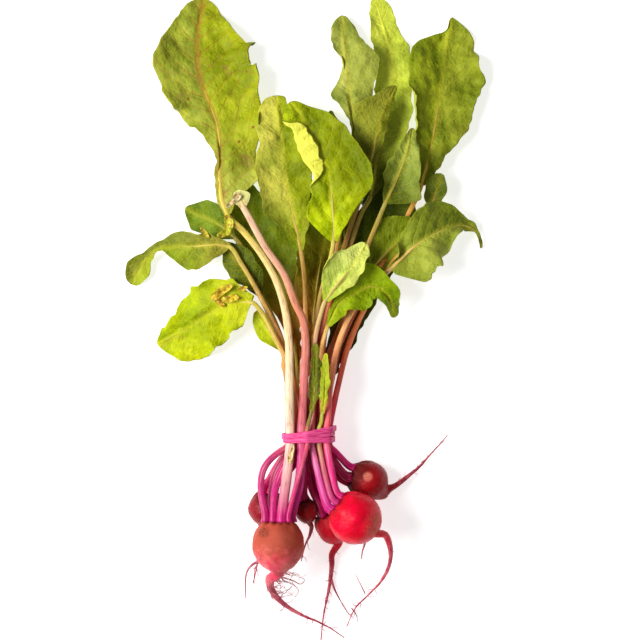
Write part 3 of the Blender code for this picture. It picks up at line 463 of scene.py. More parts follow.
def windows(values, reach, axis):
    pad = [(0, 0)] * values.ndim
    pad[axis] = (reach, reach)
    padded = np.pad(values, pad, mode="edge")
    return np.lib.stride_tricks.sliding_window_view(padded, 2 * reach + 1, axis)


def gentle_lift(need, reaches):
    """A smooth lift that is nowhere less than what is needed."""
    for axis, reach in enumerate(reaches):
        need = windows(need, reach, axis).max(axis=-1)
    for axis, reach in enumerate(reaches):
        need = windows(need, reach, axis).mean(axis=-1)
    return need


class Heap:
    """The top of all that has been laid, as heights on a grid of 1 mm cells seen from above."""

    def __init__(self):
        self.corner = np.array((-170.0, -130.0))
        self.top = np.full((341, 421), -20.0)

    def cells(self, places, radius):
        reach = int(math.ceil(radius))
        home = np.rint(places[..., :2] - self.corner).astype(int)
        for dx in range(-reach, reach + 1):
            for dy in range(-reach, reach + 1):
                cell = home + (dx, dy)
                cell = np.clip(cell, 0, np.array(self.top.shape) - 1)
                off = cell + self.corner - places[..., :2]
                room = radius * radius - (off ** 2).sum(axis=-1)
                yield cell[..., 0], cell[..., 1], room

    def height_for(self, places, radius):
        """How high the middle of a ball must be at each place to lie on the heap."""
        height = np.full(places.shape[:-1], -20.0)
        for x, y, room in self.cells(places, radius):
            level = self.top[x, y] + np.sqrt(np.maximum(room, 0))
            height = np.maximum(height, np.where(room > 0, level, -20))
        return height

    def lay(self, places, radius):
        for x, y, room in self.cells(places, radius):
            inside = room > 0
            level = places[..., 2] + np.sqrt(np.maximum(room, 0))
            np.maximum.at(self.top, (x[inside], y[inside]), level[inside])


def settle(routes, ribs, headings):
    """Lays stem and blade, leaf by leaf, each clear of what lies under it."""
    heap = Heap()
    nets = []
    for leaf, route, rib, heading in zip(LEAVES, routes, ribs, headings):
        net = blade_net(leaf, rib, heading)
        fine = fine_net(net)
        need = np.maximum(heap.height_for(fine, BLADE_THICKNESS / 2 + LAYER_GAP) - fine[..., 2], 0)
        coarse = np.zeros(net.shape[:2])
        for i in range(net.shape[0]):
            for j in range(net.shape[1]):
                rows = slice(max(i - 1, 0) * SAMPLES_PER_CELL, (i + 1) * SAMPLES_PER_CELL + 1)
                columns = slice(max(j - 1, 0) * SAMPLES_PER_CELL, (j + 1) * SAMPLES_PER_CELL + 1)
                coarse[i, j] = need[rows, columns].max()
        lift = gentle_lift(coarse, (1, 1))
        width = np.linalg.norm(net[:, -1] - net[:, 0], axis=1)
        stiff = np.clip((SUPPLE_WIDTH - width) / (SUPPLE_WIDTH - STIFF_WIDTH), 0, 1)[:, None]
        lift += stiff * (lift.max(axis=1, keepdims=True) - lift)

        radius = leaf["radius"]
        past_band = route[:, 1] - BAND_PLACE[1] - STRAIGHT_AT_BAND
        start = int(np.argmax(past_band > 0))
        ramp = np.clip(past_band[start:] / LIFT_RAMP, 0, 1)
        stem_need = np.maximum(heap.height_for(route[start:], radius + STEM_GAP) - route[start:, 2], 0)
        stem_need[-3:] = np.maximum(stem_need[-3:], lift[0, lift.shape[1] // 2])
        stem_lift = gentle_lift(stem_need * ramp, (6,)) * ramp
        stem_lift[-3:] = stem_lift[-3:].max()
        route[start:, 2] += stem_lift
        extra = stem_lift[-1] - lift[0, lift.shape[1] // 2]
        fade = np.linspace(1, 0, net.shape[0]) ** 1.5
        net[..., 2] += lift + extra * fade[:, None]

        heap.lay(smooth_line(route[start:], 0.8), radius)
        heap.lay(fine_net(net), BLADE_THICKNESS / 2)
        nets.append(net)
    return nets


def cubic(values, places):
    """Values along the first axis, read at fractional places on a smooth curve through them."""
    last = len(values) - 1
    home = np.clip(np.floor(places).astype(int), 0, last - 1)
    t = (places - home).reshape((-1,) + (1,) * (values.ndim - 1))
    a, b, c, d = (values[np.clip(home + k, 0, last)] for k in (-1, 0, 1, 2))
    return 0.5 * (2 * b + (c - a) * t + (2 * a - 5 * b + 4 * c - d) * t**2 + (3 * b - a - 3 * c + d) * t**3)


def ripples(x, y, size, seed):
    """Smooth irregular waves between about -1 and 1, with swells of the given size."""
    draw = np.random.default_rng(seed)
    total = np.zeros(np.broadcast(x, y).shape)
    for _ in range(7):
        turn, phase, stretch = draw.uniform(0, math.pi), draw.uniform(0, 2 * math.pi), draw.uniform(0.7, 1.5)
        total += np.sin(2 * math.pi * (x * math.cos(turn) + y * math.sin(turn)) * stretch / size + phase)
    return total / 3.2


def normals_of(places):
    """The upward directions square to a sheet of places."""
    square = np.cross(np.gradient(places, axis=0), np.gradient(places, axis=1))
    square /= np.linalg.norm(square, axis=2, keepdims=True) + 1e-9
    return square


def line_frames(line):
    """Ahead, side and up directions along a line, carried along without twisting."""
    ahead = np.gradient(line, axis=0)
    ahead /= np.linalg.norm(ahead, axis=1)[:, None]
    side = np.zeros_like(ahead)
    start = np.cross((0, 0, 1), ahead[0])
    side[0] = unit(start if np.linalg.norm(start) > 0.1 else (1, 0, 0))
    for k in range(1, len(line)):
        side[k] = unit(side[k - 1] - (side[k - 1] @ ahead[k]) * ahead[k])
    return ahead, side, np.cross(ahead, side)


def skin(name, places, layers=None):
    """A closed mesh object over rows of places that each go once round the shape.

    The first and last rows may be drawn together to close the ends. Layers are values for each place,
    kept as attributes of the mesh for its material.
    """
    rows, around = places.shape[:2]
    shape = bmesh.new()
    bmesh.ops.create_grid(shape, x_segments=rows - 1, y_segments=around, size=1)
    slots = {}
    for label, values in (layers or {}).items():
        kind = shape.verts.layers.float_vector if values.ndim == 3 else shape.verts.layers.float
        slots[label] = (kind.new(label), values)
    for vert in shape.verts:
        i = int(round((vert.co.x + 1) / 2 * (rows - 1)))
        j = int(round((vert.co.y + 1) / 2 * around)) % around
        vert.co = places[i, j] * MM
        for layer, values in slots.values():
            vert[layer] = values[i, j]
    bmesh.ops.remove_doubles(shape, verts=shape.verts, dist=1e-7)
    bmesh.ops.recalc_face_normals(shape, faces=shape.faces)
    mesh = bpy.data.meshes.new(name)
    shape.to_mesh(mesh)
    shape.free()
    mesh.shade_smooth()
    thing = bpy.data.objects.new(name, mesh)
    bpy.context.scene.collection.objects.link(thing)
    return thing


def place_piece(piece, material, slot, *nodes):
    piece.data.materials.append(material)
    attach(piece, "root")
    if nodes:
        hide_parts(*nodes)
    return piece


# Leaf blades

# Margins that are turned over: side of the midrib, first and last share of the length, how much of the
# half-width is turned, and how bright its underside is
FOLDS = {
    "centre_bright": (1, 0.32, 0.97, 0.56, 0.85),
    "right_tall": (1, 0.14, 0.62, 0.20, 0.35),
    "left_curled": (-1, 0.10, 0.40, 0.24, 0.30),
    "front_pale": (1, 0.20, 0.80, 0.16, 0.45),
    "centre_left": (1, 0.04, 0.30, 0.25, 0.25),
}
FOLD_RADIUS = 1.8
FOLD_TURN = math.pi * 0.95
FOLD_ENDS = 0.16

# How far the surface of a blade swells, puckers, crinkles and ruffles, and how long the waves are
SWELL, SWELL_SIZE = 2.3, 42
PUCKER = 0.35
CRINKLE, CRINKLE_SIZE = 0.55, 13
RUFFLE, RUFFLE_SIZE, SMALL_RUFFLE_SIZE = 3.0, 32, 14
NOTCH_SIZE, SMALL_NOTCH_SIZE = 17, 8
FULL_HALF_WIDTH = 24
ROUNDED_TIP = 0.05
# How deep the notches of a margin are, where they aren't as deep as on most leaves
RAGGED = {"centre_bright": 0.4, "front_dark": 2.6, "front_small": 2.2, "left_low": 1.5, "right_front": 1.5}


def blade_sheet(net):
    """The middle surface of a blade, with the distances along and across it and the share of half-width."""
    rows, columns = net.shape[0] - 1, net.shape[1] - 1
    middle = BLADE_COLUMNS // 2
    length = np.linalg.norm(np.diff(net[:, columns // 2], axis=0), axis=1).sum()
    count = max(20, int(length / BLADE_STEP))
    sheet = cubic(net, np.linspace(0, rows, count + 1))
    sheet = cubic(sheet.swapaxes(0, 1), np.linspace(0, columns, BLADE_COLUMNS + 1)).swapaxes(0, 1)
    past = np.clip((np.linspace(0, 1, count + 1) - 1 + ROUNDED_TIP) / ROUNDED_TIP, 0, 1)
    rib = sheet[:, middle:middle + 1]
    sheet = rib + (sheet - rib) * np.sqrt(1 - 0.97 * past ** 2)[:, None, None]
    steps = np.linalg.norm(np.diff(sheet, axis=1), axis=2)
    across = np.concatenate([-np.cumsum(steps[:, :middle][:, ::-1], axis=1)[:, ::-1],
                             np.zeros((count + 1, 1)), np.cumsum(steps[:, middle:], axis=1)], axis=1)
    along = np.repeat(distances(sheet[:, middle])[:, None], BLADE_COLUMNS + 1, axis=1)
    share = np.repeat(np.linspace(-1, 1, BLADE_COLUMNS + 1)[None], count + 1, axis=0)
    return sheet, along, across, share


def vein_spacing(length):
    return min(15.0, max(7.0, length / 10))


def vein_phase(along, across, share):
    """Whole numbers lie on the side veins, which leave the midrib in turn and bend towards the tip."""
    lean = np.abs(across) * (0.75 + 0.25 * np.abs(share))
    uneven = 0.3 * ripples(along, 9 * np.sign(across), 55, int(along[-1, 0]))
    return (along - lean) / vein_spacing(along[-1, 0]) + 0.5 * (across > 0) + uneven


def work_blade(leaf, sheet, along, across, share):
    """Broad swells, puckers between the side veins, a ruffled margin and an uneven outline."""
    seed = len(leaf["name"]) * 7 + int(leaf["radius"] * 10)
    length = along[-1, 0]
    size = np.clip(np.abs(across).max() / FULL_HALF_WIDTH, 0.45, 1)
    deep = RAGGED.get(leaf["name"], 1.0)
    side = np.sign(share)
    edge = np.abs(share) ** 2.4
    inside = np.clip(np.abs(share) * 4, 0, 1)
    ends = np.clip(along / 14, 0, 1) * np.clip((length - along) / 10, 0, 1)
    lift = SWELL * inside * ripples(along, across, SWELL_SIZE, seed)
    lift += PUCKER * inside * (1 - edge) * -np.cos(2 * math.pi * vein_phase(along, across, share))
    lift += CRINKLE * inside * ripples(along, across, CRINKLE_SIZE, seed + 5)
    lift += RUFFLE * edge * ripples(along, 6 * side, RUFFLE_SIZE, seed + 1)
    lift += 0.4 * RUFFLE * edge * ripples(along, 9 * side, SMALL_RUFFLE_SIZE, seed + 2)
    outward = np.gradient(sheet, axis=1)
    outward /= np.linalg.norm(outward, axis=2, keepdims=True) + 1e-9
    notch = ripples(along, 4 * side, NOTCH_SIZE, seed + 3)
    notch += 0.5 * ripples(along, 7 * side, SMALL_NOTCH_SIZE, seed + 4)
    notch *= deep * edge * side
    moved = normals_of(sheet) * lift[..., None] + outward * notch[..., None]
    return sheet + moved * (size * ends)[..., None]


def fold_margin(sheet, along, fold):
    """Turns one margin over towards the viewer along a soft crease; also says which places are turned."""
    side, first, last, turned, bright = fold
    middle = sheet.shape[1] // 2
    columns = np.arange(middle, sheet.shape[1]) if side > 0 else np.arange(middle, -1, -1)
    folded = sheet.copy()
    flap = np.zeros(sheet.shape[:2])
    way = along[:, 0] / along[-1, 0]
    window = np.clip((way - first) / FOLD_ENDS, 0, 1) * np.clip((last - way) / FOLD_ENDS, 0, 1)
    window = window * window * (3 - 2 * window)
    square = normals_of(sheet)
    for i in np.flatnonzero(window > 0.02):
        strip = sheet[i, columns]
        reach = distances(strip)
        crease = reach[-1] * (1 - turned * window[i])
        past = reach > crease
        k = int(np.argmax(past))
        base = read_at([crease], reach, strip)[0]
        out = unit(strip[k - 1] - strip[k - 2])
        up = square[i, columns[k - 1]]
        arc = reach[past] - crease
        angle = np.minimum(arc / FOLD_RADIUS, FOLD_TURN)
        rest = np.maximum(arc - FOLD_TURN * FOLD_RADIUS, 0)
        sideways = FOLD_RADIUS * np.sin(angle) + rest * math.cos(FOLD_TURN)
        height = FOLD_RADIUS * (1 - np.cos(angle)) + rest * math.sin(FOLD_TURN)
        folded[i, columns[past]] = base + out * sideways[:, None] + up * height[:, None]
        flap[i, columns[past]] = np.clip(arc / FOLD_RADIUS, 0, 1) * bright
    return folded, flap


def finish_blade(leaf, net, material):
    sheet, along, across, share = blade_sheet(net)
    phase = vein_phase(along, across, share)
    sheet = work_blade(leaf, sheet, along, across, share)
    flap = np.zeros_like(along)
    if leaf["name"] in FOLDS:
        sheet, flap = fold_margin(sheet, along, FOLDS[leaf["name"]])
    sheet[..., 2] = np.maximum(sheet[..., 2], FINE_BLADE / 2)
    thick = FINE_BLADE / 2 * (1 - share ** 8)
    thick[0] = 0
    thick[-1] = 0
    offset = normals_of(sheet) * thick[..., None]
    leaf_mm = np.stack([along, across, np.abs(share)], axis=-1)
    both = {"leaf_mm": leaf_mm, "vein_phase": phase, "flap": flap}
    layers = {name: there_and_back(values, values) for name, values in both.items()}
    layers["underside"] = there_and_back(np.zeros_like(along), np.ones_like(along))
    piece = skin("blade_" + leaf["name"], there_and_back(sheet + offset, sheet - offset), layers)
    return place_piece(piece, material, "leaf_green", "leaf_" + leaf["name"])


def there_and_back(over, under):
    """Rows that go across a sheet on its upper face and come back on its lower face."""
    return np.concatenate([over, under[:, -2:0:-1]], axis=1)


# Leaf stems

RIB_SHARE = 0.95
RIB_END = 0.25
RIB_SINK = 0.5
GROOVE = 0.16
# how thick a stem is at the crown, just above it, on its way to the band, at the band and at the blade
STEM_SHARES = (1.5, 1.25, 1.14, 1.08, 1.0, STEM_AT_BLADE)


def finish_stem(leaf, route, net, material):
    """A grooved stem that runs on as the midrib of its blade, thinner and thinner."""
    middle = net.shape[1] // 2
    rib = cubic(net[:, middle], np.linspace(0, (net.shape[0] - 1) * RIB_SHARE, 60))[1:]
    line = smooth_line(np.vstack((route[::2], rib[::4])), STEM_STEP)
    base = int(np.argmin(np.linalg.norm(line - route[-1], axis=1)))
    band = int(np.argmin(np.abs(line[:, 1] - BAND_PLACE[1])))
    count = np.arange(len(line))
    past = np.clip((count - base) / max(len(line) - 1 - base, 1), 0, 1)
    stem_share = np.interp(count, [0, 2, band * 0.3, band * 0.8, band, base], STEM_SHARES)
    rib_share = STEM_AT_BLADE * (1 - past) ** 1.1 * 0.82
    radius = leaf["radius"] * np.where(count > base, rib_share, stem_share) + RIB_END * past
    radius *= 1 + 0.03 * ripples(count * STEM_STEP, 0, 30, len(route))
    _, side, up = line_frames(line)
    sink = np.where(count > base, radius * RIB_SINK, 0)
    turn = np.linspace(0, 2 * math.pi, STEM_SIDES, endpoint=False)
    form = 1 - GROOVE * np.exp(-((1 - np.sin(turn)) / 0.10) ** 2) + 0.035 * np.cos(5 * turn)
    across = radius[:, None] * form * np.cos(turn)
    height = radius[:, None] * form * np.sin(turn) * 0.94 - sink[:, None]
    places = line[:, None] + side[:, None] * across[..., None] + up[:, None] * height[..., None]
    places = closed_ends(line, places)
    stage = np.interp(count, [0, band, (band + base) / 2, base, len(line) - 1], [0, 0.25, 0.5, 0.75, 1])
    stage = np.concatenate((stage[:1], stage, stage[-1:]))
    length = np.concatenate(([0], count, count[-1:])) * STEM_STEP
    ones = np.ones((len(length), STEM_SIDES))
    streak = np.stack([ones * np.cos(turn) * 3, ones * np.sin(turn) * 3, ones * length[:, None]], axis=-1)
    piece = skin("petiole_" + leaf["name"], places, {"stage": ones * stage[:, None], "streak_mm": streak})
    return place_piece(piece, material, "stem_skin", "stem_" + leaf["name"])


def closed_ends(line, places):
    """The rows of a tube with a last row at each end that draws together on its line."""
    around = places.shape[1]
    first, last = (np.repeat(line[k:k + 1] if k == 0 else line[k:], around, axis=0)[None] for k in (0, -1))
    return np.concatenate((first, places, last))


# Beets

# Lumps on a beet: the middle, the reach and the height of each
LUMPS = {
    "back_right": [((63, -140, 12), 8, 5.0), ((44, -120, 24), 9, 1.6)],
    "front_left": [((-36, -170, 50), 9, 1.0)],
}


# Relief of the skin: how high its bumps, creases and shoulder furrows are, their size or number, how far
# a root wavers in thickness, and how far the uneven rim of a crown stands up round the stems
BUMP, BUMP_SIZE = 0.4, 15
CREASE, CREASE_SIZE = 0.16, 2.6
FURROW, FURROWS = 0.7, 9
ROOT_WOBBLE = 0.25
CROWN_LIP = 1.5


def beet_profile(beet):
    """Close-set places and radii down the axis of a bulb and on along its root."""
    _, axis, _, _ = crown_frame(beet)
    size = beet["radius"]
    tail = size * beet["tail"]
    first = math.asin(beet["crown"])
    turn = np.linspace(first, math.pi, int(size * math.pi / BULB_STEP / 1.4))
    ring = size * np.sin(turn)
    height = np.where(np.cos(turn) > 0, size, tail) * np.cos(turn)
    ring = np.hypot(ring, beet["root_radius"] * np.clip(-height / tail, 0, 1) ** 3)
    bulb = np.array(beet["centre"]) + axis * height[:, None]
    root = smooth_line([bulb[-1] + axis * 2.0, bulb[-1]] + beet["root"], 1.4)[2:]
    way = np.linspace(0, 1, len(root))
    root_ring = ROOT_TIP_RADIUS * 0.5 + (beet["root_radius"] - ROOT_TIP_RADIUS * 0.5) * (1 - way) ** 1.8
    line = np.vstack((bulb[:-1], root))
    down = np.concatenate((np.linspace(0, 1, len(bulb) - 1), 1 + way))
    return line, np.concatenate((ring[:-1], root_ring)), down


def finish_beet(name, beet, material):
    line, ring, down = beet_profile(beet)
    ahead, side, up = line_frames(line)
    seed = int(beet["radius"] * 10)
    turn = np.linspace(0, 2 * math.pi, BEET_AROUND, endpoint=False)
    deep = distances(line)[:, None]
    size = np.minimum(ring / 12, 1)[:, None]
    bumps = BUMP * ripples(np.cos(turn) * 14 + 0 * deep, np.sin(turn) * 14 + deep, BUMP_SIZE, seed)
    creases = CREASE * ripples(deep, 2 * np.sin(turn * 2), CREASE_SIZE, seed + 1)
    shoulder = np.exp(-((down - 0.10) / 0.10) ** 2)[:, None]
    furrows = FURROW * shoulder * np.sin(turn * FURROWS + 2 * np.sin(turn * 2))
    wobble = ROOT_WOBBLE * np.clip(down - 1, 0, 1)[:, None] * ripples(deep, turn * 3, 9, seed + 2)
    far = ring[:, None] + size * (bumps + creases + furrows) + wobble * np.minimum(ring, 1)[:, None]
    places = line[:, None] + far[..., None] * (side[:, None] * np.cos(turn)[:, None]
                                               + up[:, None] * np.sin(turn)[:, None])
    lip = 0.4 + ripples(np.cos(turn) * 14, np.sin(turn) * 14, 9, seed + 3)
    lip = CROWN_LIP * np.exp(-(down / 0.07) ** 2)[:, None] * np.maximum(lip, 0)
    places = places - ahead[:, None] * lip[..., None]
    crown = []
    for share in (0.0, 0.35, 0.7, 0.9):
        dome = 1.6 * math.sqrt(1 - share ** 2) - 1.1
        crown.append(line[0] + (places[0] - line[0]) * share - ahead[0] * dome)
    places = np.concatenate((np.array(crown), places, np.repeat(line[-1:], BEET_AROUND, axis=0)[None]))
    for middle, reach, rise in LUMPS.get(name, []):
        away = np.linalg.norm(places - middle, axis=-1, keepdims=True)
        outward = places - beet["centre"]
        outward /= np.linalg.norm(outward, axis=-1, keepdims=True)
        places = places + outward * rise * np.exp(-(away / reach) ** 2 * 2)
    places[..., 2] = np.maximum(places[..., 2], 0)
    down = np.concatenate((np.full(4, -0.02), down, [2.0]))
    piece = skin("beetroot_" + name, places, {"down": np.repeat(down[:, None], BEET_AROUND, axis=1)})
    return place_piece(piece, material, "beet_skin", "beet_" + name)


# Rootlets: beet, where they start along the root line, how many, their length, how they spread and lean
HAIRS = [
    ("front_left", (0.90, 1.45), 60, 30.0, 0.7, (0.9, -0.1, -0.1)),
    ("front_left", (0.9, 1.95), 24, 12.0, 0.9, (0, 0, 0)),
    ("front_right", (1.0, 1.9), 20, 12.0, 0.8, (0, 0, 0)),
    ("back_left", (1.0, 1.9), 10, 9.0, 0.8, (0, 0, 0)),
    ("back_middle", (1.0, 1.9), 20, 10.0, 0.7, (0, 0, 0)),
    ("back_small", (0.9, 1.9), 10, 9.0, 0.8, (0, 0, 0)),
    ("back_right", (1.0, 1.9), 14, 8.0, 0.7, (0, 0, 0)),
]
HAIR_RADIUS = 0.26
LOOSE_ROOT_RADIUS = 0.6
# Thin branch roots that the solids leave out
LOOSE_ROOTS = {
    "front_left": [[(-22, -201, 32), (-16, -209, 24), (-9, -213, 16), (-5, -220, 8), (-8, -224, 9)],
                   [(-20, -205, 28), (-10, -208, 26), (-3, -212, 20), (0, -209, 16), (-4, -207, 15)],
                   [(-37, -194, 30), (-40, -200, 18), (-41, -208, 8), (-41, -215, 3)]],
    "back_middle": [[(30, -230, 1.6), (35, -238, 1.0), (39, -242, 0.8)]],
    "front_right": [[(49, -222, 4), (45, -214, 3), (41, -206, 1.5)],
                    [(38, -234, 2.2), (42, -240, 1.2), (43, -246, 0.8)]],
}


def wander(start, heading, length, draw):
    """A thin root that grows off in its heading, bends about and sinks to the table."""
    steps = max(5, int(length / 2.2))
    place = np.array(start, dtype=float)
    heading = unit(heading)
    points = [place]
    for _ in range(steps):
        heading = unit(heading + draw.normal(0, 0.34, 3) + (0, 0, -0.10))
        place = place + heading * (length / steps)
        place[2] = max(place[2], 0.5)
        points.append(place)
    return points


def thread_piece(name, lines, radii, material, slot):
    """Many thin round roots in one curve object, each tapering to its end."""
    curve = bpy.data.curves.new(name, "CURVE")
    curve.dimensions = "3D"
    curve.bevel_depth = MM
    curve.bevel_resolution = 1
    curve.use_fill_caps = True
    for line, thick in zip(lines, radii):
        spline = curve.splines.new("POLY")
        spline.points.add(len(line) - 1)
        for k, (knot, place) in enumerate(zip(spline.points, line)):
            knot.co = (*(float(c) * MM for c in place), 1)
            knot.radius = thick * (1 - 0.7 * k / (len(line) - 1))
    piece = bpy.data.objects.new(name, curve)
    bpy.context.scene.collection.objects.link(piece)
    return place_piece(piece, material, slot)


def finish_rootlets(material):
    for name, beet in BEETS.items():
        draw = np.random.default_rng(int(beet["radius"] * 100))
        line, ring, down = beet_profile(beet)
        _, side, up = line_frames(line)
        lines, radii = [], []
        for owner, (first, last), count, length, spread, lean in HAIRS:
            if owner != name:
                continue
            for _ in range(count):
                k = int(np.argmin(np.abs(down - draw.uniform(first, last))))
                turn = draw.uniform(0, 2 * math.pi)
                out = side[k] * math.cos(turn) + up[k] * math.sin(turn)
                start = line[k] + out * ring[k] * 0.8
                ahead = line[min(k + 3, len(line) - 1)] - line[k]
                heading = out * spread + 0.5 * unit(ahead + 1e-6) + lean
                lines.append(wander(start, heading, draw.uniform(0.4, 1) * length, draw))
                radii.append(HAIR_RADIUS * draw.uniform(0.6, 1.3))
        for route in LOOSE_ROOTS.get(name, []):
            lines.append(smooth_line(route, 2.0))
            radii.append(LOOSE_ROOT_RADIUS)
        if beet["side"]:
            lines.append(smooth_line(beet["side"], 2.0))
            radii.append(SIDE_ROOT_RADIUS)
        thread_piece("rootlets_" + name, lines, radii, material, "beet_skin")


# Withered bits of leaf: middle, reach along and across, turn in degrees, tone and height above what is below
SCRAPS = [
    ((-66, 23), (9, 3.5), 35, (222, 196, 24), 1.0),
    ((-69, 16), (7, 3.0), -60, (206, 172, 18), 1.2),
    ((-60, 17), (7.5, 3.0), 15, (228, 206, 44), 1.4),
    ((-49, 25), (4.5, 2.2), 10, (206, 184, 30), 0.6),
    ((-61, 77), (8, 3.6), 85, (214, 212, 44), 0.6),
    ((-64, 69), (6, 3.0), 30, (188, 194, 30), 1.0),
    ((-79, 69), (5.5, 1.8), -55, (214, 200, 44), 0.5),
    ((-55, 95), (7, 3.0), 50, (222, 204, 150), 0.4),
    ((-10.5, -107), (7, 2.2), 80, (236, 214, 150), 0.2),
]
SCRAP_ROWS = 22


def heap_top(clouds, place):
    """The highest place of the finished leaves and stems near a place seen from above."""
    near = np.linalg.norm(clouds[:, :2] - place, axis=1) < 4.0
    return clouds[near, 2].max() if near.any() else 0.0


def finish_scraps(clouds, material):
    """Small crumpled pieces of withered leaf that lie on the blades and cling to the stems."""
    for k, (place, reach, degrees, levels, above) in enumerate(SCRAPS):
        radius = np.linspace(0, 1, SCRAP_ROWS)[:, None]
        turn = np.linspace(0, 2 * math.pi, 28, endpoint=False)[None]
        edge = 1 + 0.25 * ripples(np.cos(turn) * 8, np.sin(turn) * 8, 16, k)
        x = radius * np.cos(turn) * edge * reach[0]
        y = radius * np.sin(turn) * edge * reach[1]
        cosine, sine = math.cos(math.radians(degrees)), math.sin(math.radians(degrees))
        flat = np.stack([x * cosine - y * sine, x * sine + y * cosine], axis=-1)
        z = 0.34 * min(reach) * (ripples(x, y, 2.4 * min(reach), k + 5) + radius ** 2)
        top = np.array([heap_top(clouds, np.add(place, spot)) for spot in flat[-1]]).max()
        sheet = np.concatenate([flat + place, (z + top + above)[..., None]], axis=-1)
        under = sheet - (0, 0, 0.35)
        places = np.concatenate([sheet[:-1], (sheet[-1:] + under[-1:]) / 2, under[:-1][::-1]])
        places[..., 2] = np.maximum(places[..., 2], 0.1)
        place_piece(skin("withered_bit_%d" % (k + 1), places), material(levels), "leaf_green")


# The elastic band

# Turns of the band: place along the stems, half-width, slope from left to right, and how far out it lies
STRANDS = [
    (3.0, 2.3, 0.16, 0.9),
    (-2.6, 2.2, 0.02, 0.0),
    (0.2, 1.6, 0.10, -0.2),
]
BAND_AROUND = 160
BAND_SIDES = 14


def finish_band(material):
    """Turns of flat elastic, stretched round the stems one over another."""
    angles = np.linspace(0, 2 * math.pi, 720, endpoint=False)
    hull = np.array([band_outline(np.array((math.cos(a), math.sin(a)))) for a in angles])
    closed = np.vstack((hull, hull[:1]))
    length = distances(closed)
    even = np.linspace(0, length[-1], BAND_AROUND, endpoint=False)
    ring = read_at(even, length, closed)
    facing = np.interp(even, length, np.append(np.unwrap(angles), 2 * math.pi))
    out = np.column_stack((np.cos(facing), np.sin(facing)))
    turn = np.linspace(0, 2 * math.pi, BAND_SIDES, endpoint=False)
    flat_y, flat_out = (np.sign(wave) * np.abs(wave) ** 0.6 for wave in (np.cos(turn), np.sin(turn)))
    for k, (shift, half, slope, raised) in enumerate(STRANDS):
        wave = ripples(even, 0, 40, 40 + k)[:, None]
        y = shift + slope * ring[:, :1] + 0.35 * wave + flat_y * half
        away = flat_out * BAND_THICKNESS / 2 + raised + 0.12 * wave
        places = np.stack([ring[:, :1] + out[:, :1] * away, y, ring[:, 1:] + out[:, 1:] * away], axis=-1)
        looped = np.concatenate((places, places[:1])) + BAND_PLACE
        nodes = ["band"] if k == 0 else []
        place_piece(skin("elastic_turn_%d" % (k + 1), looped), material, "band_pink", *nodes)


def band_outline(direction):
    """The outermost place of the bundle in one direction, where the stretched elastic lies."""
    best = None
    for leaf in LEAVES:
        centre = np.array(leaf["slot"])
        reach = leaf["radius"] + STEM_GAP + BAND_THICKNESS / 2
        out = centre @ direction + reach
        if best is None or out > best[0]:
            best = (out, centre + direction * reach)
    return best[1]


# Materials

# Patterns in the surfaces: the scale per millimetre, detail, roughness and distortion of a noise, and the
# levels at which its patches begin and are full
PATTERNS = {
    "leaf_cloud": ((0.030, 3.0, 0.55), 0.42, 0.64),
    "leaf_patch": ((0.055, 4.0, 0.6, 0.5), 0.50, 0.70),
    "leaf_fleck": ((0.17, 4.0, 0.6), 0.48, 0.70),
    "leaf_brown": ((0.045, 4.0, 0.65, 0.8), 0.54, 0.70),
    "withered": ((0.35, 4.0, 0.65), 0.40, 0.66),
    "stem_line": ((1.5, 3.0, 0.6), 0.54, 0.70),
    "stem_dark": ((2.1, 2.0), 0.52, 0.70),
    "stem_brown": ((0.11, 4.0, 0.7), 0.62, 0.74),
    "beet_painted_highlight": ((0.06, 4.0, 0.6), 0.36, 0.68),
    "beet_lines": ((1.1, 3.0, 0.65), 0.54, 0.72),
    "torn_skin": ((0.42, 4.0, 0.75, 2.4), 0.47, 0.55),
    "root_tones": ((0.12, 4.0, 0.7), 0.38, 0.62),
    "rootlet_tones": ((0.10, 3.0), 0.35, 0.65),
    "elastic_highlight_streaks": ((1.4, 3.0, 0.6), 0.35, 0.7),
}


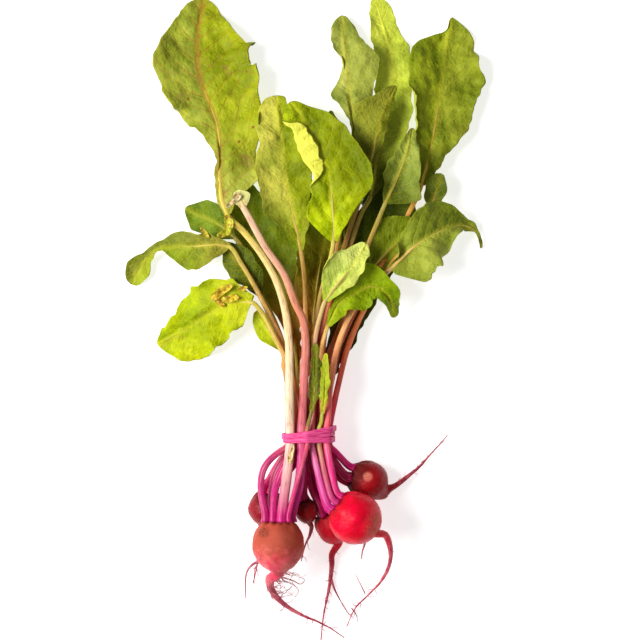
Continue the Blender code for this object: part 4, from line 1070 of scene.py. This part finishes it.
class Tree:
    """A material or node group under construction."""

    def __init__(self, tree):
        self.tree = tree

    def add(self, kind, inputs=None, **settings):
        node = self.tree.nodes.new(kind)
        for key, value in settings.items():
            setattr(node, key, value)
        for key, value in (inputs or {}).items():
            self.feed(node.inputs[key], value)
        return node

    def feed(self, socket, value):
        if isinstance(value, bpy.types.NodeSocket):
            self.tree.links.new(value, socket)
        elif isinstance(value, (tuple, list)) and socket.type == "RGBA" and len(value) == 3:
            socket.default_value = (*value, 1)
        else:
            socket.default_value = value

    def math(self, operation, *values):
        node = self.add("ShaderNodeMath", operation=operation)
        for socket, value in zip(node.inputs, values):
            self.feed(socket, value)
        return node.outputs[0]

    def mix(self, share, first, second, blend="MIX"):
        node = self.add("ShaderNodeMix", data_type="RGBA", blend_type=blend)
        self.feed(node.inputs[0], share)
        self.feed(node.inputs[6], first)
        self.feed(node.inputs[7], second)
        return node.outputs[2]

    def smooth(self, value, low, high):
        """0 below low and 1 above high, with a soft way between."""
        node = self.add("ShaderNodeMapRange", interpolation_type="SMOOTHSTEP")
        for key, number in ((0, value), (1, low), (2, high), (3, 0.0), (4, 1.0)):
            self.feed(node.inputs[key], number)
        return node.outputs[0]

    def noise(self, vector, scale, detail=3.0, rough=0.55, distortion=0.0):
        return self.add("ShaderNodeTexNoise", {"Vector": vector, "Scale": scale, "Detail": detail,
                                               "Roughness": rough, "Distortion": distortion}).outputs["Fac"]

    def pattern(self, vector, name):
        noise, low, high = PATTERNS[name]
        return self.smooth(self.noise(vector, *noise), low, high)

    def lay(self, colour, mask, share, other, blend="MIX"):
        """Another colour over the places of a mask, at a share of its full strength."""
        return self.mix(self.math("MULTIPLY", mask, share), colour, other, blend)

    def inverse(self, mask):
        return self.math("SUBTRACT", 1.0, mask)

    def off_centre(self, value):
        return self.math("SUBTRACT", value, 0.5)

    def stretched(self, vector, scales):
        return self.add("ShaderNodeMapping", {"Vector": vector, "Scale": scales}).outputs[0]

    def attribute(self, name, output="Fac"):
        return self.add("ShaderNodeAttribute", attribute_name=name).outputs[output]

    def object_mm(self):
        """Object coordinates in millimetres."""
        place = self.add("ShaderNodeTexCoord").outputs["Object"]
        return self.add("ShaderNodeVectorMath", {0: place, "Scale": 1000.0}, operation="SCALE").outputs[0]


def new_group(name, inputs, outputs):
    """An empty node group with its sockets, and the nodes that stand for its two ends."""
    group = bpy.data.node_groups.new(name, "ShaderNodeTree")
    for label, kind, value in inputs:
        socket = group.interface.new_socket(label, in_out="INPUT", socket_type="NodeSocket" + kind)
        if value is not None:
            socket.default_value = value
    for label in outputs:
        group.interface.new_socket(label, in_out="OUTPUT", socket_type="NodeSocketFloat")
    build = Tree(group)
    return build, group.nodes.new("NodeGroupInput").outputs, group.nodes.new("NodeGroupOutput").inputs


def vein_group():
    """Masks of a leaf's side veins and of the fine net between them."""
    build, start, end = new_group(
        "leaf_veins", [("Place", "Vector", None), ("Phase", "Float", 0.0), ("Spacing", "Float", 12.0)],
        ["Side Veins", "Net", "Puff"])
    edge_share = build.add("ShaderNodeSeparateXYZ", {0: start["Place"]}).outputs["Z"]
    waver = build.math("MULTIPLY", build.off_centre(build.noise(start["Place"], 0.12)), 0.30)
    phase = build.math("ADD", start["Phase"], waver)
    near = build.math("ABSOLUTE", build.off_centre(build.math("FRACT", build.math("ADD", phase, 0.5))))
    away = build.math("MULTIPLY", near, start["Spacing"])
    width = build.math("MULTIPLY_ADD", edge_share, -0.65, 0.95)
    build.feed(end["Side Veins"], build.inverse(build.smooth(build.math("DIVIDE", away, width), 0.25, 1.0)))
    cells = build.add("ShaderNodeTexVoronoi", {"Vector": start["Place"], "Scale": 0.24, "Randomness": 0.9},
                      feature="DISTANCE_TO_EDGE").outputs["Distance"]
    build.feed(end["Net"], build.inverse(build.smooth(cells, 0.02, 0.13)))
    build.feed(end["Puff"], build.smooth(cells, 0.0, 0.35))
    return build.tree


def speck_group():
    """Small irregular spots, some larger than others, with plain skin between them."""
    build, start, end = new_group(
        "specks", [("Vector", "Vector", None), ("Scale", "Float", 0.2), ("Amount", "Float", 0.3)], ["Mask"])
    vector = start["Vector"]
    cells = build.add("ShaderNodeTexVoronoi", {"Vector": vector, "Scale": start["Scale"]}).outputs
    pick = build.add("ShaderNodeSeparateColor", {0: cells["Color"]}).outputs[0]
    size = build.math("MULTIPLY", build.math("SUBTRACT", start["Amount"], pick), 0.9)
    rough = build.math("MULTIPLY_ADD", build.noise(vector, 0.9), 0.2, cells["Distance"])
    build.feed(end["Mask"], build.smooth(build.math("SUBTRACT", size, rough), -0.10, 0.06))
    return build.tree


def tone(levels, strength=1.0):
    """A linear colour from screen levels of 0 to 255."""
    shares = [level / 255 for level in levels]
    return tuple(strength * (c / 12.92 if c <= 0.04045 else ((c + 0.055) / 1.055) ** 2.4) for c in shares)


def new_finish(name):
    """A new material, its tree, and object coordinates in millimetres."""
    material = bpy.data.materials.new(name)
    material.use_nodes = True
    build = Tree(material.node_tree)
    return material, build, build.object_mm()


def close_finish(material, build, colour, roughness, specular, relief):
    """Feeds the shader of a material. The relief is its strength, its depth in metres and its height."""
    shader = material.node_tree.nodes["Principled BSDF"]
    strength, depth, height = relief
    build.feed(shader.inputs["Base Color"], colour)
    build.feed(shader.inputs["Roughness"], roughness)
    shader.inputs["Specular IOR Level"].default_value = specular
    bump = build.add("ShaderNodeBump", {"Strength": strength, "Distance": depth, "Height": height})
    build.feed(shader.inputs["Normal"], bump.outputs[0])
    return material


# Uneven green in a leaf: its pattern, its share, and what it does to the colour below it
LEAF_CLOUDS = [
    ("leaf_cloud", 0.80, (0.50, 0.58, 0.36)),
    ("leaf_patch", 0.80, (1.42, 1.36, 1.5)),
    ("leaf_fleck", 0.50, (0.62, 0.70, 0.50)),
]
# Leaves with more rust than this have red-brown veins
RUSTY = 0.8


def leaf_material(leaf, veins, specks, length):
    left, right, base, rust = LEAF_TONES[leaf["name"]]
    inner = leaf["name"].startswith("inner")
    material, build, solid = new_finish("leaf_" + leaf["name"])
    place = build.attribute("leaf_mm", "Vector")
    along, across, edge_share = build.add("ShaderNodeSeparateXYZ", {0: place}).outputs
    marks = build.add("ShaderNodeGroup", {"Place": place, "Phase": build.attribute("vein_phase"),
                                          "Spacing": vein_spacing(length)}, node_tree=veins).outputs
    # The two halves get their own tones: painted light and shade, one half lit and the other shaded
    colour = build.mix(build.smooth(across, -4.0, 4.0), tone(right), tone(left))
    near, far = (0.10, 0.66) if inner else (0.04, 0.42)
    colour = build.mix(build.smooth(along, near * length, far * length), tone(base), colour)
    for name, share, change in LEAF_CLOUDS:
        colour = build.lay(colour, build.pattern(solid, name), share, change, "MULTIPLY")
    vein_share = 0.06 if inner else 0.85 if rust > RUSTY else 0.35
    vein = build.mix(vein_share, colour, tone(RUST_VEIN if rust > RUSTY else LEAF_VEIN))
    vein = build.mix(0.5, vein, (1.5, 1.4, 1.2), "MULTIPLY")
    near_rib = build.inverse(build.smooth(build.math("ABSOLUTE", across), 0.6, 3.4))
    for mask, share in ((near_rib, 0.45), (marks["Side Veins"], 0.42), (marks["Net"], 0.14)):
        colour = build.lay(colour, mask, share, vein)
    brown = build.pattern(solid, "leaf_brown")
    colour = build.lay(colour, brown, 0.5 * rust, tone(LEAF_BROWN))
    rim = build.smooth(edge_share, 0.90, 1.0)
    colour = build.lay(colour, rim, 0.35, build.mix(0.5, colour, tone(LEAF_RIM)))
    spots = build.add("ShaderNodeGroup", {"Vector": solid, "Scale": 0.17, "Amount": 0.14 + 0.22 * rust},
                      node_tree=specks)
    colour = build.lay(colour, spots.outputs["Mask"], 0.8, tone(RUST))
    flap = build.attribute("flap")
    colour = build.mix(flap, colour, tone(LEAF_FLAP))
    under = build.math("SUBTRACT", build.attribute("underside"), flap)
    colour = build.lay(colour, under, 0.4, tone(LEAF_PALE))
    roughness = build.math("MULTIPLY_ADD", build.noise(solid, 0.25), 0.20, 0.36)
    height = build.math("MULTIPLY", build.math("SUBTRACT", marks["Puff"], marks["Side Veins"]), 0.5)
    height = build.math("MULTIPLY_ADD", build.noise(solid, 0.16, 4.0, 0.6, 0.4), 2.6, height)
    return close_finish(material, build, colour, roughness, 0.08, (0.6, 0.0009, height))


def withered_material(levels):
    material, build, solid = new_finish("withered")
    colour = build.mix(build.pattern(solid, "withered"), tone(levels), tone(WITHERED_DARK))
    return close_finish(material, build, colour, 0.6, 0.5, (0.5, 0.0005, build.noise(solid, 0.9, 3.0)))


# Where along a stem its tones stand, from the crown at 0 to the end of the midrib at 1
STEM_STOPS = (0.02, 0.17, 0.31, 0.52, 0.74, 1.0)


def stem_material(leaf):
    material, build, solid = new_finish("stem_" + leaf["name"])
    streak = build.attribute("streak_mm", "Vector")
    drawn = build.stretched(streak, (1.0, 1.0, 0.04))
    start = build.math("SUBTRACT", build.attribute("stage"), 0.06)
    stage = build.math("MULTIPLY_ADD", build.noise(drawn, 0.5, 3.0), 0.12, start)
    ramp = build.add("ShaderNodeValToRGB", {0: stage})
    tones = STEM_TONES.get(leaf["name"], STEM_TONE_ELSE) + (LEAF_VEIN,)
    stops = ramp.color_ramp.elements
    stops[0].position, stops[1].position = STEM_STOPS[0], STEM_STOPS[-1]
    for position in STEM_STOPS[1:-1]:
        stops.new(position)
    for stop, levels in zip(stops, tones):
        stop.color = (*tone(levels), 1)
    line = build.pattern(drawn, "stem_line")
    colour = build.lay(ramp.outputs[0], line, 0.50, tone(STEM_LIGHT))
    dark = build.pattern(drawn, "stem_dark")
    colour = build.lay(colour, dark, 0.75, tone(STEM_DARK, 1.4), "MULTIPLY")
    brown = build.pattern(solid, "stem_brown")
    colour = build.lay(colour, brown, 0.5, tone(STEM_BROWN))
    return close_finish(material, build, colour, 0.32, 0.25, (0.4, 0.0004, build.noise(drawn, 2.6, 2.0)))


def beet_material(name, specks):
    body, light, cork, cork_reach = BEET_TONES[name]
    material, build, solid = new_finish("beet_" + name)
    down = build.attribute("down")
    # Patches of the lighter tone are a painted highlight on the skin
    colour = build.mix(build.pattern(solid, "beet_painted_highlight"), tone(body), tone(light))
    squeezed = build.stretched(solid, (0.25, 1.0, 0.25))
    lines = build.pattern(squeezed, "beet_lines")
    colour = build.lay(colour, lines, 0.36, tone(cork))
    ragged = build.math("MULTIPLY_ADD", build.off_centre(build.noise(solid, 0.22, 4.0, 0.65)), 0.7, down)
    shoulder = build.inverse(build.smooth(ragged, cork_reach - 0.20, cork_reach + 0.14))
    colour = build.lay(colour, shoulder, 0.85, tone(cork))
    # The crown is darkened: partly its own brown tissue, partly painted shade in the recess where the stems
    # meet it
    crown = build.inverse(build.smooth(down, -0.01, 0.07))
    colour = build.lay(colour, crown, 0.75, (0.35, 0.22, 0.20), "MULTIPLY")
    spots = build.add("ShaderNodeGroup", {"Vector": solid, "Scale": 0.42, "Amount": 0.34}, node_tree=specks)
    colour = build.lay(colour, spots.outputs["Mask"], 0.55, tone(cork))
    rough = shoulder
    for place, reach, levels, raggedness in SCARS.get(name, []):
        away = build.add("ShaderNodeVectorMath", {0: solid, 1: place}, operation="DISTANCE").outputs["Value"]
        near = build.inverse(build.smooth(away, reach * 0.45, reach))
        torn = build.pattern(solid, "torn_skin")
        torn = build.math("MULTIPLY_ADD", build.math("SUBTRACT", torn, 1.0), raggedness, 1.0)
        mask = build.math("MULTIPLY", near, torn)
        colour = build.lay(colour, mask, 0.85, tone(levels))
        rough = build.math("MAXIMUM", rough, mask)
    root = build.smooth(down, 0.98, 1.35)
    root_colour = build.mix(build.pattern(solid, "root_tones"), tone(ROOT_DARK), tone(ROOT_LIGHT))
    colour = build.lay(colour, root, 0.85, root_colour)
    roughness = build.math("MULTIPLY_ADD", rough, 0.34, 0.27)
    height = build.math("MULTIPLY_ADD", lines, 0.5, build.noise(solid, 0.8, 4.0, 0.6))
    height = build.math("MULTIPLY_ADD", rough, 0.8, height)
    return close_finish(material, build, colour, roughness, 0.15, (0.5, 0.0007, height))


def rootlet_material():
    material, build, solid = new_finish("rootlets")
    colour = build.mix(build.pattern(solid, "rootlet_tones"), tone(ROOT_DARK), tone(ROOT_LIGHT))
    return close_finish(material, build, colour, 0.6, 0.5, (0.4, 0.0003, build.noise(solid, 1.5, 3.0)))


def band_material():
    material, build, solid = new_finish("pink_elastic")
    # Lighter streaks along the elastic are a painted highlight
    streak = build.pattern(build.stretched(solid, (0.08, 1.0, 0.3)), "elastic_highlight_streaks")
    colour = build.mix(streak, tone(BAND_DARK), tone(BAND_HIGHLIGHT))
    return close_finish(material, build, colour, 0.5, 0.3, (0.4, 0.0004, streak))


# Stage: floor, light and camera

def make_floor():
    mesh = bpy.data.meshes.new("floor")
    shape = bmesh.new()
    bmesh.ops.create_grid(shape, x_segments=1, y_segments=1, size=4)
    shape.to_mesh(mesh)
    shape.free()
    floor = bpy.data.objects.new("floor", mesh)
    bpy.context.scene.collection.objects.link(floor)
    material = bpy.data.materials.new("pale_floor")
    material.use_nodes = True
    build = Tree(material.node_tree)
    shader = material.node_tree.nodes["Principled BSDF"].inputs
    for label, value in (("Base Color", FLOOR_TONE), ("Roughness", 0.9), ("Emission Color", (1, 1, 1)),
                         ("Emission Strength", FLOOR_GLOW)):
        build.feed(shader[label], value)
    mesh.materials.append(material)


def make_lights():
    world = bpy.data.worlds.new("soft_sky")
    world.use_nodes = True
    world.node_tree.nodes["Background"].inputs["Color"].default_value = (1, 1, 1, 1)
    world.node_tree.nodes["Background"].inputs["Strength"].default_value = SKY_STRENGTH
    bpy.context.scene.world = world
    light = bpy.data.lights.new("key", "AREA")
    light.shape = "DISK"
    light.size = KEY_SIZE
    light.energy = KEY_POWER
    lamp = bpy.data.objects.new("key", light)
    lamp.location = KEY_PLACE
    lamp.rotation_euler = (-lamp.location).to_track_quat("-Z", "Y").to_euler()
    bpy.context.scene.collection.objects.link(lamp)


def make_camera():
    data = bpy.data.cameras.new("overhead")
    data.sensor_width = SENSOR
    data.lens = SENSOR * VIEW_DISTANCE / VIEW_WIDTH
    data.clip_start = 0.05
    camera = bpy.data.objects.new("overhead", data)
    camera.location = (VIEW_MIDDLE[0] * MM, VIEW_MIDDLE[1] * MM, (VIEW_HEIGHT + VIEW_DISTANCE) * MM)
    bpy.context.scene.collection.objects.link(camera)
    bpy.context.scene.camera = camera


def main():
    bpy.context.scene.view_settings.view_transform = "Standard"
    make_floor()
    make_lights()
    make_camera()
    routes, ribs, headings = zip(*(leaf_line(leaf) for leaf in LEAVES))
    routes = relax_stems(routes, [leaf["radius"] for leaf in LEAVES])
    nets = settle(routes, ribs, headings)
    veins = vein_group()
    specks = speck_group()
    for leaf, route, net in zip(LEAVES, routes, nets):
        length = np.linalg.norm(np.diff(net[:, net.shape[1] // 2], axis=0), axis=1).sum()
        finish_blade(leaf, net, leaf_material(leaf, veins, specks, length))
        finish_stem(leaf, route, net, stem_material(leaf))
    for name, beet in BEETS.items():
        finish_beet(name, beet, beet_material(name, specks))
    clouds = [fine_net(net).reshape(-1, 3) for net in nets] + [np.add(route, (0, 0, 2)) for route in routes]
    finish_scraps(np.concatenate(clouds), withered_material)
    finish_rootlets(rootlet_material())
    finish_band(band_material())


main()
